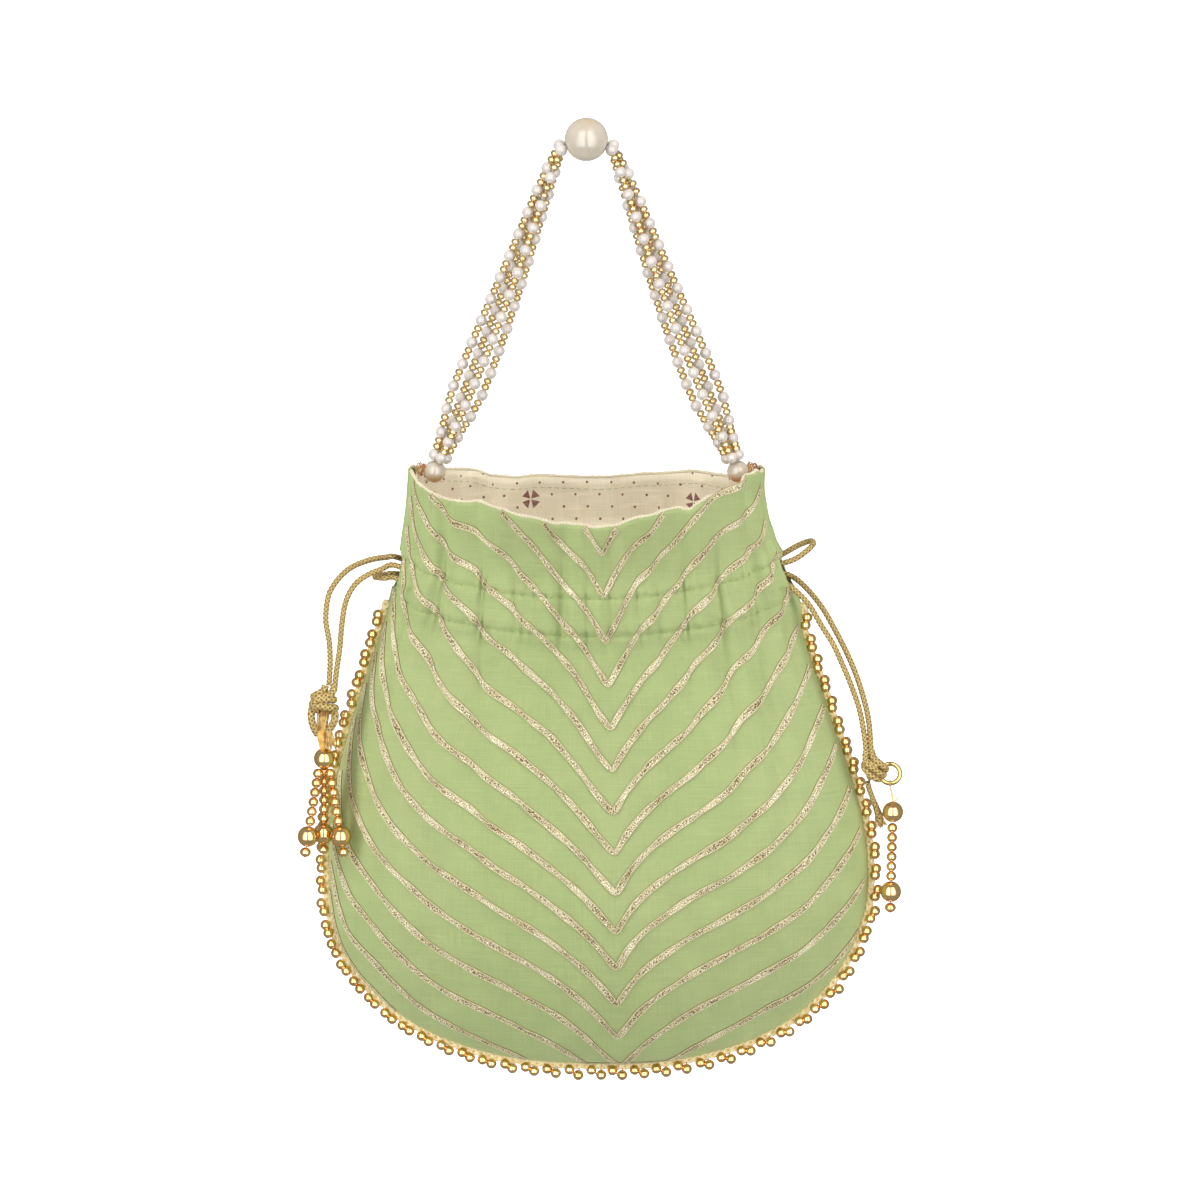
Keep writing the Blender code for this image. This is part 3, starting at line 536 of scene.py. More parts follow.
def clothPoint(side, u, z, lift=0.0, given=None):
    # the bag's surface with folds, the channel's puff and stitch rows, and a slight unevenness
    a0 = acrossOf(u, z)
    known = a0 if given is None else given
    out, pinch = np.zeros_like(z), np.zeros_like(z)
    for place, deep, wide, length, drift in folds:
        place = side * -1 * place
        middle = place + side * -1 * drift * (bag["cornerZ"] - 0.05 - z)
        d = (u - middle) / wide
        reach = foldReach(z, a0, length) * np.exp(-d * d)
        out -= deep * reach
        pinch += cloth["pinch"] * deep / 0.0026 * d * reach
    a = np.clip(known + acrossOf(np.clip(u - pinch, -halfCloth, halfCloth), z) - a0, -1.0, 1.0)
    slit = smoothStep((z - bag["cornerZ"] + bag["channelBottom"]) / cloth["slitEnds"])
    slit = slit * smoothStep((bag["cornerZ"] - bag["channelTop"] - z) / cloth["slitEnds"])
    a = a * (1.0 - cloth["slitBack"] * np.abs(a) ** 12 * slit)  # the side seam is open where the cords come out
    above = z - bottomHeight(np.clip(known, -0.9999, 0.9999))
    edge = (1.0 - np.abs(a) ** 14) * smoothStep(above / cloth["seamReach"])
    for drop in ("channelTop", "channelBottom"):
        gap = z - channelHeight(bag[drop], a0)
        out -= cloth["stitchDip"] * np.exp(-(gap / cloth["stitchWidth"]) ** 2)
        fast, slow = cloth["puckerTurns"]
        wrinkle = np.sin(u * fast + 2.0 * np.sin(u * slow)) * np.exp(-(gap / cloth["puckerReach"]) ** 2)
        out += cloth["pucker"] * wrinkle
    fromChannel = z - channelHeight((bag["channelTop"] + bag["channelBottom"]) / 2, a0)
    out += cloth["puff"] * np.exp(-(fromChannel / cloth["puffReach"]) ** 4)
    nearRim = np.exp(-np.clip(rimHeight(side, a0) - z, 0.0, None) / cloth["rimReach"])
    slow, fast = cloth["rimTurns"]
    out += cloth["rimWave"] * nearRim * (np.sin(u * slow + 1.1 * side) + 0.5 * np.sin(u * fast))
    fast, slow = cloth["rippleTurns"]
    ripple = cloth["ripple"] * np.sin(u * fast + 1.7 * np.sin(u * slow) + side)
    out += ripple * foldReach(z, a0, cloth["rippleReach"])
    turnsU, turnsZ = cloth["swayTurns"]
    out += cloth["sway"] * np.sin(u * turnsU + z * turnsZ) * smoothStep(-(z + cloth["swayFrom"]) / cloth["swayFull"])
    place = bagSurface(side, a, z)
    place[..., 1] += side * cloth["slitOpen"] * np.abs(a) ** 16 * slit
    da, dz = 1e-3, 1e-4
    slopeA = bagSurface(side, np.clip(a + da, -1, 1), z) - bagSurface(side, np.clip(a - da, -1, 1), z)
    slopeZ = bagSurface(side, a, z + dz) - bagSurface(side, a, z - dz)
    normal = np.cross(slopeZ, slopeA) * side
    length = np.linalg.norm(normal, axis=-1, keepdims=True)
    normal = normal / np.maximum(length, 1e-12)
    return place + normal * (out * edge + lift)[..., None]


clothPieces = []


def cutSize(u, points):
    # a cloth's flat width, length and area: widths across the flat cloth times lengths down the shaped one
    down = np.linalg.norm(np.diff(points, axis=0), axis=-1)
    across = np.diff(u, axis=1)
    area = float((0.5 * (across[1:] + across[:-1]) * 0.5 * (down[:, 1:] + down[:, :-1])).sum())
    return float(np.ptp(u)), float(down.sum(axis=0).max()), area


def rowShares(rows):
    # rows close together at the bottom seam and across the drawstring channel, where the stitched folds are fine
    plain = np.linspace(0.0, 1.0, 4000)
    share = 1.0 - np.cos(plain ** 0.85 * math.pi / 2)
    crowd = plain + 0.20 * np.tanh((share - 0.815) / 0.06)
    return np.interp(np.linspace(crowd[0], crowd[-1], rows), crowd, share)


def sewCloth(name, points, flat, z, turnOver, thick, nodeName):
    # a cloth from its grid of points and its places on the flat cloth, thickened inward
    faces = gridFaces(*points.shape[:2])
    faces = faces[:, ::-1] if turnOver else faces
    item = makeMesh(name, points, faces.tolist(), np.stack([flat, z], axis=-1) / 0.1)
    shell = item.modifiers.new("Thickness", "SOLIDIFY")
    shell.thickness = thick
    shell.offset = -1.0
    assign(item, "bag", [nodeName])
    clothPieces.append((item, *cutSize(flat, points)))


def makePanel(name, side, rows, columns, nodeName):
    # a grid of places on the flat cloth, between the bottom seam and the mouth
    a = sineSpread(columns)[None, :] * cloth["sideShare"]
    top, low = rimHeight(side, a), bottomHeight(a)
    z = low + (top - low) * rowShares(rows)[:, None]
    u = flatPlaces(a, z)
    points = clothPoint(side, u, z, 0.0, np.broadcast_to(a, z.shape))
    sewCloth(name, points, u, z, side > 0, cloth["thick"], nodeName)


makePanel("front_silk", -1, 200, 220, "front_panel")
makePanel("back_silk", 1, 130, 170, "back_panel")
print("silk panels made, half the cloth is", round(halfCloth * 1000), "mm wide")

# gold strips sewn in chevrons: the points of the V, from the mouth down to the bottom seam
strips = {
    "half": 0.00146,  # half the strip's width
    # the V's, named by the row of the photo that their point lies on: how far right of the flat cloth's middle the
    # point is, and how far each arm climbs at each distance ("reach") from it, in mm
    "places": [554, 641, 728, 812, 893, 968, 1041, 1115],
    "pearlRow": 141,  # the row of the top pearl's centre
    "pixel": 0.00042,  # metres a row
    "line": [8.5, 9.6, 10.8, 11.4, 11.5, 10.7, 9.3, 8.0],
    "reach": [0, 4, 10, 18, 28, 40, 52, 66, 80, 94, 106, 115, 123, 130, 136],
    "left": [
        [0, 5.5, 11.2, 15.5, 22.9, 37.7, 47.6, 57.9, 59.8, 60.1, 66.4, 73.8, 86, 99.8, 115],
        [0, 6.6, 13.4, 20.7, 27.5, 39.5, 49.8, 59, 63, 64.7, 73, 81.7, 90, 101, 115],
        [0, 4.3, 13.5, 24.6, 32.2, 41.6, 49.1, 57.5, 66, 71.6, 80, 88.9, 96, 107, 120],
        [0, 3.4, 11.3, 21.4, 31.2, 39.3, 45.7, 53.9, 65.6, 79, 86.4, 93.2, 101, 113, 127],
        [0, 4.3, 11.8, 20.3, 28.5, 37.6, 45.7, 54, 62.5, 73.9, 85.5, 94, 104, 118, 133],
        [0, 5.4, 12.8, 20.3, 28.3, 36.5, 43.5, 52.8, 61.6, 72, 88, 98.9, 109, 124, 140],
        [0, 5.9, 13.3, 20.9, 28.6, 35.4, 41.1, 49.5, 57.8, 68.7, 80, 92, 105, 130, 155],
        [0, 5.7, 13.5, 22, 29.3, 35.2, 41.5, 48.1, 56, 68.5, 80, 86.5, 100.5, 118, 140],
    ],
    "right": [
        [0, 6, 13.6, 18.9, 24.7, 35, 45, 56.3, 59.6, 61.2, 66.5, 73.6, 92.1, 110, 125],
        [0, 6, 15, 25.3, 31.6, 40.2, 48.4, 59.8, 64.2, 66.9, 73.3, 81.8, 96.6, 110, 121.2],
        [0, 6.3, 13.6, 22.9, 30.2, 42.7, 50.4, 60.8, 68.7, 73.6, 81, 89.9, 100.6, 109.7, 117.4],
        [0, 7.6, 14.2, 22.1, 29, 37.9, 48.2, 60.8, 68.4, 79.2, 87.7, 96.2, 103.3, 108.9, 113.9],
        [0, 7.8, 14.9, 22.4, 29.4, 35.9, 45.1, 56.4, 66.1, 79.9, 88.9, 97.1, 103.9, 107, 110.5],
        [0, 7.4, 14.5, 20.5, 27.8, 34.5, 41, 50.7, 61.8, 76.8, 87.8, 95.4, 101.2, 104, 107.5],
        [0, 5.6, 12.5, 18.8, 24.8, 32, 38.3, 45.8, 54.8, 68.7, 81.1, 89.1, 94.2, 99.8, 104.8],
        [0, 4.4, 10.5, 16.9, 22.9, 29.1, 35, 42.5, 49.3, 58.9, 69.7, 76.6, 85.2, 95.2, 102.3],
    ],
    "tipRound": 0.0004,
    "step": 0.00115,
    "seat": 0.00012,
    "thick": 0.00028,
    "edgeThread": 0.00022,
    "crinkle": 0.00016,
    # the photo's rows of all the points; the last ones lie past the bottom, and only their arms show
    "points": [554, 596, 641, 685, 728, 770, 812, 853, 893, 932, 968, 1005, 1041, 1078, 1115, 1152, 1190, 1228, 1266],
    # places across the strip, in half widths, and which of them the flat back repeats
    "columns": [-1.0, -0.86, -0.66, -0.45, -0.22, 0.0, 0.22, 0.45, 0.66, 0.86, 1.0],
    "backColumns": [10, 5, 0],
}


def heightOfRow(row):
    # height on the bag's front for a row of the photo, seen from 12 degrees above
    tilt = math.radians(cameraSet["tilt"])
    z = bag["cornerZ"]
    for _ in range(12):
        depth = float(halfDepth(np.array(max(z, bellyZ))))
        z = (-(row - strips["pearlRow"]) * strips["pixel"] + depth * math.sin(tilt)) / math.cos(tilt)
    return z


def armTable(rows):
    # how far an arm climbs at each millimetre from the point: read between the given places, then smoothed with a
    # bell 3 mm wide, mirrored about the point so that the point stays sharp
    far = 200.0
    table = []
    for row in rows:
        slope = (row[-1] - row[-2]) / (strips["reach"][-1] - strips["reach"][-2])
        climb = np.interp(np.arange(far + 1.0), strips["reach"] + [far],
                          row + [row[-1] + slope * (far - strips["reach"][-1])])
        padded = np.pad(climb, 12, mode="reflect", reflect_type="odd")
        bell = np.exp(-(np.arange(-12, 13) / 3.0) ** 2 / 2)
        table.append(np.convolve(padded, bell / bell.sum(), mode="valid"))
    return np.array(table)


armTables = {-1: armTable(strips["left"]), 1: armTable(strips["right"])}
placeHeights = np.array([heightOfRow(row) for row in strips["places"]])


def stripHeight(u, point):
    # the point's height plus the arm's climb, read from the tables between the V's that were measured
    place = float(np.interp(-point, -placeHeights, np.arange(len(placeHeights))))
    away = u - float(np.interp(place, np.arange(len(placeHeights)), strips["line"])) * mm
    reach = (np.sqrt(away ** 2 + strips["tipRound"] ** 2) - strips["tipRound"]) / mm
    row = np.full_like(reach, place)
    left, right = lookUp(armTables[-1], row, reach), lookUp(armTables[1], row, reach)
    return point + np.where(away < 0, left, right) * mm


def stripGrid(side, point, seed):
    # rings of points along one V: two edge threads, a crinkled middle and a flat back on the cloth
    p = strips
    u = np.arange(-halfCloth, halfCloth, 0.0003)
    z = stripHeight(u * -side, point)
    a = acrossOf(u, z)
    room = (z < rimHeight(side, a) - 0.0006) & (z > bottomHeight(a) + 0.0010) & (np.abs(a) < 0.990)
    if room.sum() < 24:
        return None
    u, z = u[room], z[room]
    travelled = np.concatenate([[0.0], np.cumsum(np.hypot(np.diff(u), np.diff(z)))])
    even = np.arange(0.0, travelled[-1], p["step"])
    u, z = np.interp(even, travelled, u), np.interp(even, travelled, z)
    wayU, wayZ = np.gradient(u, even), np.gradient(z, even)
    c = np.array(p["columns"])
    rng = np.random.default_rng(seed)
    crumple = rng.normal(0.0, 1.0, (len(u), len(c)))
    crumple = 0.5 * crumple + 0.25 * (np.roll(crumple, 1, 0) + np.roll(crumple, -1, 0))
    middle = (np.abs(c) < 0.5)[None, :]
    thread = np.exp(-((np.abs(c) - 0.86) / 0.16) ** 2)[None, :]
    beads = 0.7 + 0.3 * np.sin(np.arange(len(u)) * 1.9)[:, None]
    lift = p["thick"] * (1.0 - np.abs(c[None, :]) ** 10) + p["edgeThread"] * thread * beads
    lift = p["seat"] + lift + p["crinkle"] * crumple * middle
    width = p["half"] * (1.0 + 0.13 * np.sin(even * 170.0 + 2.3 * seed) + 0.08 * np.sin(even * 460.0 + seed))
    rise = clothPoint(side, u, z + 1e-4) - clothPoint(side, u, z - 1e-4)
    steep = np.clip(np.linalg.norm(rise, axis=-1) / 2e-4, 1.0, None)  # cloth passed for each step down
    gridU = u[:, None] - c[None, :] * (width * wayZ)[:, None]
    gridZ = z[:, None] + c[None, :] * (width * wayU / steep)[:, None]
    top = clothPoint(side, gridU, gridZ, lift)
    backU, backZ = gridU[:, p["backColumns"]], gridZ[:, p["backColumns"]]
    back = clothPoint(side, backU, backZ, np.full_like(backU, p["seat"] * 0.3))
    travelled = lengths(top[:, 5])[:, None] / 0.01 + np.zeros_like(c)[None, :]
    acrossUv = (c[None, :] + 1) / 2 + np.zeros_like(gridU)
    uv = np.stack([travelled + seed * 7.3, acrossUv], axis=-1)
    return np.concatenate([top, back], axis=1), np.concatenate([uv, uv[:, p["backColumns"]]], axis=1)


def makeStrips(name, side):
    points, uvs, faces, start = [], [], [], 0
    for k, row in enumerate(strips["points"]):
        made = stripGrid(side, heightOfRow(row), k + 1)
        if made is None:
            continue
        grid, uv = made
        rows, sides = grid.shape[:2]
        quads = (gridFaces(rows, sides, closed=True) + start).tolist()
        caps = [[start + i for i in range(sides)], [start + (rows - 1) * sides + i for i in range(sides)][::-1]]
        faces += [q[::-1] for q in quads] + caps if side < 0 else quads + [q[::-1] for q in caps]
        points.append(grid.reshape(-1, 3))
        uvs.append(uv.reshape(-1, 2))
        start += rows * sides
    assign(makeMesh(name, np.vstack(points), faces, np.vstack(uvs)), "bag")
    print(name, "made with", len(faces), "faces")


makeStrips("front_gold_strips", -1)
makeStrips("back_gold_strips", 1)

# lining: follows the silk inside, and steps in at the channel to leave room for the cords
lining = {
    "inset": 0.0021,
    "room": 0.0088,  # how far it stands in at the channel
    "thick": 0.0004,
    "sideShare": 0.985,
    "flap": 4,  # columns in each flap that joins the two linings
}


def liningInset(z):
    middle = bag["cornerZ"] - (bag["channelTop"] + bag["channelBottom"] + bag["channelSag"]) / 2
    reach = (bag["channelBottom"] - bag["channelTop"] + bag["channelSag"]) * 0.62
    near = np.clip(1.0 - ((z - middle) / reach) ** 4, 0.0, 1.0)
    return lining["inset"] + (lining["room"] - lining["inset"]) * smoothStep(near * 2.0)


def makeLining(name, side, rows, columns, nodeName, reachTo=None):
    # the silk's own surface, moved in by the inset, on a grid from the bottom seam to the mouth; with another
    # lining's side edges given, its own sides reach across the seam to them
    a = sineSpread(columns)[None, :] * lining["sideShare"]
    low = bottomHeight(a, lining["inset"]) + 0.0010
    top = rimHeight(side, a) - 0.0004
    share = 1.0 - np.cos(np.linspace(0.0, 1.0, rows) ** 0.9 * math.pi / 2)
    z = low + (top - low) * share[:, None]
    points = clothPoint(side, flatPlaces(a, z), z, -liningInset(z), np.broadcast_to(a, z.shape))
    flat = flatPlaces(a, z, False)
    if reachTo is not None:
        share = np.linspace(0.0, 1.0, lining["flap"] + 1)[:-1]
        for edge, far, sign in ((0, reachTo[0], -1), (-1, reachTo[1], 1)):
            near = points[:, edge]
            way = share if edge == 0 else share[::-1]
            flap = far[:, None] * (1.0 - way[None, :, None]) + near[:, None] * way[None, :, None]
            width = np.linalg.norm(far - near, axis=1)[:, None] * (1.0 - way[None, :])
            more = flat[:, edge][:, None] + sign * width
            heights = np.repeat(z[:, edge][:, None], lining["flap"], axis=1)
            pairs = ((flap, points), (more, flat), (heights, z))
            points, flat, z = [np.concatenate(pair[::-sign], axis=1) for pair in pairs]
    sewCloth(name, points, flat, z, side < 0, lining["thick"], nodeName)
    return points[:, 0], points[:, -1]


frontSides = makeLining("front_cotton", -1, 110, 190, "front_lining")
makeLining("back_cotton", 1, 110, 190, "back_lining", frontSides)


# the mouth's rolled edge, a cream binding where silk and lining are turned and stitched, and the side seams
edging = {
    "columns": 240,
    "sideShare": 0.9995,
    "radius": 0.00078,
    "sides": 10,
    "step": 0.0010,
    "seamRadius": 0.00095,
    "seamStep": 0.0006,
    "seamIn": 0.0003,
}


def makeSideSeam(name, side):
    # the silk's turned-in side edges, sewn together above and below the opening where the cords come out
    lines = []
    for top, low in ((0.0006, bag["channelTop"] + 0.0004), (bag["channelBottom"] - 0.0004, bag["trimStart"] + 0.002)):
        z = bag["cornerZ"] - np.arange(top, low, edging["seamStep"])
        lines.append(turned(side * (halfWidth(z) - edging["seamIn"]), 0.0 * z, z))
    grids = [tubeGrid(line, edging["seamRadius"], edging["sides"]) for line in lines]
    assign(joinTubes(name, grids, lines), "bag")


makeSideSeam("left_side_seam", -1)
makeSideSeam("right_side_seam", 1)


def makeRim(name, side):
    a = sineSpread(edging["columns"]) * edging["sideShare"]
    z = rimHeight(side, a)
    arcs = np.array([np.interp(v, tableA, sectionArc(level)) * halfCloth / sectionArc(level)[-1]
                     for v, level in zip(a, z)])
    outer = clothPoint(side, arcs, z, 0.0, a)
    inner = clothPoint(side, arcs, z, np.full_like(z, -lining["inset"]), a)
    line = evenly((outer * 0.6 + inner * 0.4), edging["step"])
    travelled = lengths(line)
    lumps = 1.0 + 0.10 * np.sin(travelled * 1900.0) + 0.12 * np.sin(travelled * 610.0)
    assign(makeTube(name, line, (edging["radius"] * lumps)[:, None], edging["sides"]), "bag")


makeRim("front_mouth_edge", -1)
makeRim("back_mouth_edge", 1)
print("lining and mouth edges made")

# beads: whole strings at once, as balls copied to their places
balls = {"pearl": (12, 8), "seed": (8, 5), "fringe": (12, 7), "large": (40, 24), "small": (20, 12)}


def unitBall(segments, rings):
    theta = np.linspace(0.0, math.pi, rings + 1)[1:-1][:, None]
    phi = np.linspace(0.0, 2 * math.pi, segments, endpoint=False)[None, :]
    body = np.stack([np.sin(theta) * np.cos(phi), np.sin(theta) * np.sin(phi), np.cos(theta) + 0 * phi], axis=-1)
    points = np.vstack([[[0.0, 0.0, 1.0]], body.reshape(-1, 3), [[0.0, 0.0, -1.0]]])
    last = len(points) - 1
    quads = (gridFaces(rings - 1, segments, closed=True) + 1)[:, ::-1].tolist()
    k = np.arange(segments)
    n = (k + 1) % segments
    top = np.stack([0 * k, 1 + k, 1 + n], axis=1).tolist()
    base = 1 + (rings - 2) * segments
    low = np.stack([0 * k + last, base + n, base + k], axis=1).tolist()
    return points, quads + top + low


def makeBalls(name, centres, radii, kind, bodyName, nodes=(), flat=1.0, way=None):
    # every ball is the same unit ball, scaled and moved; flat squeezes it along its string
    points, faces = unitBall(*balls[kind])
    centres = np.asarray(centres, float).reshape(-1, 3)
    radii = np.broadcast_to(np.asarray(radii, float), (len(centres),))
    cloud = centres[:, None] + points[None] * radii[:, None, None]
    if way is not None:
        way = np.asarray(way, float) / np.linalg.norm(way, axis=-1, keepdims=True)
        lengthwise = ((cloud - centres[:, None]) * way[:, None]).sum(-1, keepdims=True)
        cloud += lengthwise * way[:, None] * (flat - 1.0)
    every = [[i + k * len(points) for i in face] for k in range(len(centres)) for face in faces]
    tone = np.repeat(np.random.default_rng(len(centres)).random(len(centres)), len(points))
    return assign(makeMesh(name, cloud, every, extra={"tone": tone}), bodyName, nodes)


# handle
handle = {
    "drop": 0.142,
    "spread": 0.1273,
    "topPearl": 0.0182,
    "basePearl": 0.0093,
    "pearl": 0.0049,
    "seed": 0.0036,
    "seedFlat": 0.80,
    "seedPlaces": (0.365, 0.635),  # shares of the way from one pearl to the next
    "period": 0.0097,
    "threadRadius": 0.00028,
    "spreadTop": 0.00190,
    "spreadLow": 0.00460,
    "lowPlace": 0.78,
    "turnFirst": 25.0,  # degrees that the strands have turned at the top pearl, and how many more by the foot
    "turn": 12.0,
    "gap": 0.0003,
    "startOut": 0.0004,
    "startDrop": 0.0038,
    "nestle": 0.012,
    "bow": 0.0016,  # how far the legs bend inward halfway down
}


def legCentres(side, index):
    # four strands turn about the leg's line, close together at the pearls and open lower down
    h = handle
    touch = h["pearl"] / 2 + h["gap"]
    base = np.array((side * h["spread"] / 2, 0.0, -h["drop"]))
    start = np.array((side * (h["topPearl"] / 2 + touch + h["startOut"]), 0.0, -h["startDrop"]))
    way = (base - start) / np.linalg.norm(base - start)
    corner = h["spreadTop"] * math.sqrt(2.0)
    end = base - way * math.sqrt((h["basePearl"] / 2 + touch) ** 2 - corner ** 2)
    length = np.linalg.norm(end - start)
    count = round(length / h["period"])
    shares = np.linspace(0.0, 1.0, count + 1)
    shift = 0.5 / count * (index % 2) * np.minimum(1.0, np.minimum(shares, 1.0 - shares) * count / 2.0)
    shares = shares + shift  # every second strand is half a period further on
    rise = smoothStep(shares / h["lowPlace"])
    fall = smoothStep((1.0 - shares) / (1.0 - h["lowPlace"]))
    reach = (h["spreadTop"] + (h["spreadLow"] - h["spreadTop"]) * np.minimum(rise, fall)) * math.sqrt(2.0)
    angle = math.radians(45.0 + 90.0 * index) + side * np.radians(h["turnFirst"] + h["turn"] * shares)
    across = np.cross(way, (0.0, 1.0, 0.0))
    centre = start + np.outer(shares * length, way) - np.outer(h["bow"] * np.sin(math.pi * shares), (side, 0.0, 0.0))
    centre = centre + np.outer(reach * np.cos(angle), across) + np.outer(reach * np.sin(angle), (0.0, 1.0, 0.0))
    # the first pearls lie against the top pearl
    first = centre[0] / np.linalg.norm(centre[0]) * (h["topPearl"] / 2 + h["pearl"] / 2 + 0.0001) - centre[0]
    return centre + np.outer(np.exp(-shares * length / h["nestle"]), first)


def makeLeg(side, word):
    # four strands: pearls, two seed beads between each two of them, and a thread through all
    h = handle
    base = np.array((side * h["spread"] / 2, 0.0, -h["drop"]))
    pearls, seeds, seedWays, threads = [], [], [], []
    for index in range(4):
        centres = legCentres(side, index)
        step = np.diff(centres, axis=0)
        pearls.append(centres)
        for share in h["seedPlaces"]:
            seeds.append(centres[:-1] + step * share)
            seedWays.append(step)
        ends = np.vstack([[side * 0.0085, 0.0, -0.0015], centres, base * 0.9 + centres[-1] * 0.1])
        threads.append(tubeGrid(evenly(ends, 0.002), h["threadRadius"], 6))
    makeBalls(f"{word}_strand_pearls", np.vstack(pearls), h["pearl"] / 2, "pearl", "handle",
              [f"{word}_strand_{index + 1}" for index in range(4)])
    makeBalls(f"{word}_strand_seeds", np.vstack(seeds), h["seed"] / 2, "seed", "handle",
              flat=h["seedFlat"], way=np.vstack(seedWays))
    assign(joinTubes(f"{word}_strand_threads", threads), "handle")
    return base


handleFeet = {"left": makeLeg(-1, "left"), "right": makeLeg(1, "right")}
topPearl = makeBalls("top_pearl_ball", [(0.0, 0.0, 0.0)], handle["topPearl"] / 2, "large", "handle",
                     ["top_pearl"])
for word, foot in handleFeet.items():
    makeBalls(f"{word}_base_pearl_ball", [foot], handle["basePearl"] / 2, "large", "handle",
              [f"{word}_base_pearl"])
print("handle made")

# braid over the seam and the fringe of beads in pairs
trim = {
    "braid": 0.0035,
    "braidThick": 0.0020,
    "braidSides": 16,
    "braidPitch": 0.0068,
    "fringeBead": 0.0044,
    "pitch": 0.00903,
    "stepAlong": 0.0037,
    "first": [(0.0, 3.0), (0.15, 3.2), (0.3, 3.6), (0.5, 2.7), (0.62, 2.8), (0.7, 2.9), (0.8, 2.8),
              (0.87, 1.9), (1.0, 1.8)],  # mm out from the seam, by place along it
    "second": [(0.0, 2.5), (0.15, 3.0), (0.3, 3.5), (0.5, 4.8), (0.62, 4.6), (0.7, 4.2), (0.8, 3.6),
               (0.87, 2.7), (1.0, 2.5)],
    "forward": 0.0009,
    "scatter": 0.00022,
    "threadRadius": 0.00026,
}


def makeBraid():
    # a flat braid: an oval section whose edge rises and falls where its yarns cross
    line = evenly(seamLine(trim["braid"] / 2 - 0.0006), 0.0005)
    angle, crossing = crossingTurns(line, trim["braidSides"], 2, trim["braidPitch"])
    _, first, _ = ringFrames(line)
    oval = np.where(np.abs(first[:, 1:2]) > 0.7, np.cos(angle) ** 2, np.sin(angle) ** 2)
    half = trim["braid"] / 2 + (trim["braidThick"] - trim["braid"]) / 2 * oval
    item = makeTube("gold_edge_braid", line, half * (0.88 + 0.14 * crossing), trim["braidSides"])
    assign(item, "bag", ["edge_braid"])


def makeFringe():
    # two rows of beads by place along the seam, and a loop of thread through each pair
    seam, near = seamLine(0.0), seamLine(0.001)
    total = lengths(seam)[-1]
    pairs = int(total / trim["pitch"])
    margin = (total - (pairs - 1) * trim["pitch"] - trim["stepAlong"]) / 2
    places = margin + trim["pitch"] * np.arange(pairs)
    rng = np.random.default_rng(5)
    ends = []
    for word, shift in (("first", 0.0), ("second", trim["stepAlong"])):
        at = (places + shift) / total
        base = along(seam, at * total)
        nearby = along(near, at * lengths(near)[-1])
        spot = base + (nearby - base) / 0.001 * (eased(at, trim[word]) * mm)[:, None]
        spot = spot + rng.normal(0.0, trim["scatter"], spot.shape) + (0.0, -trim["forward"], 0.0)
        ends.append((base, spot))
    makeBalls("fringe_beads", np.vstack([spot for _, spot in ends]), trim["fringeBead"] / 2, "fringe", "bag",
              ["bead_fringe"])
    loops = [tubeGrid(evenly(smoothLine([base, first, second, back], 0.0006), 0.0009), trim["threadRadius"], 5)
             for base, first, second, back in zip(ends[0][0], ends[0][1], ends[1][1], ends[1][0])]
    assign(joinTubes("fringe_threads", loops), "bag")


makeBraid()
makeFringe()
print("braid and fringe made")

# knots: each is made of its own turns of cord, in millimetres from the knot's centre
knots = {
    "leftTurns": [
        [(-1.6, -0.2, 11.6), (-2.4, -1.0, 9.6), (-5.4, -1.6, 7.9), (-6.4, 1.0, 6.6), (-3.4, 3.2, 5.4),
         (0.6, 2.6, 5.2), (1.8, -0.4, 5.6), (-0.6, -2.9, 6.4), (-4.0, -3.2, 6.2), (-6.9, -1.6, 4.2),
         (-6.9, 0.4, 2.6), (-7.6, -0.6, -0.4), (-7.3, -1.0, -3.6), (-6.4, -0.6, -6.6), (-4.9, 0.2, -9.4)],
        [(2.2, -0.4, 11.6), (1.2, -2.0, 9.0), (-1.8, -3.0, 7.6), (-5.0, -2.6, 7.4), (-6.4, 0.2, 4.6),
         (-4.4, 2.8, 2.2), (0.0, 3.2, 1.6), (2.4, 0.6, 1.8), (1.8, -2.6, 2.6), (-1.4, -3.9, 3.2),
         (-4.6, -3.6, 3.7), (-6.6, -1.0, 2.0), (-4.2, 2.0, 0.6), (0.4, 2.2, 0.4), (2.3, -0.6, 0.0),
         (2.2, -1.4, -2.8), (1.0, -0.8, -5.6), (-0.8, 0.0, -8.4)],
    ],
    "leftDiameter": 0.0034,
    "rightTurns": [
        [(-2.7, -0.2, 7.4), (-2.9, -1.2, 4.6), (-2.2, -2.6, 2.4), (0.4, -3.2, 0.4), (3.4, -2.6, -1.9),
         (4.7, -0.2, -2.8), (3.0, 2.4, -1.4), (-0.4, 2.8, 0.6), (-3.2, 1.0, 1.6), (-3.2, -1.6, 0.2),
         (-0.8, -2.6, -2.3), (2.0, -2.0, -4.3), (3.0, 0.2, -4.4), (0.8, 2.0, -3.2), (-1.8, 0.8, -4.6)],
        [(-0.3, 0.0, 7.2), (0.4, -1.6, 5.0), (2.6, -2.6, 2.8), (5.0, -1.6, 0.6), (5.6, 0.6, -0.6), (3.0, 2.4, 1.6),
         (-0.4, 1.8, 3.4), (-2.2, -0.6, 3.0), (-0.6, -2.2, 2.4), (2.2, -2.6, 0.8)],
    ],
    "rightDiameter": 0.0030,
}


def makeTurns(name, centre, routes, diameter, nodeName):
    # each turn is a braided cord of its own
    lines = [centre + smoothLine(np.array(route) * mm, 0.00035) for route in routes]
    assign(joinTubes(name, [braidedTube(line, diameter) for line in lines], lines), "bag", [nodeName])


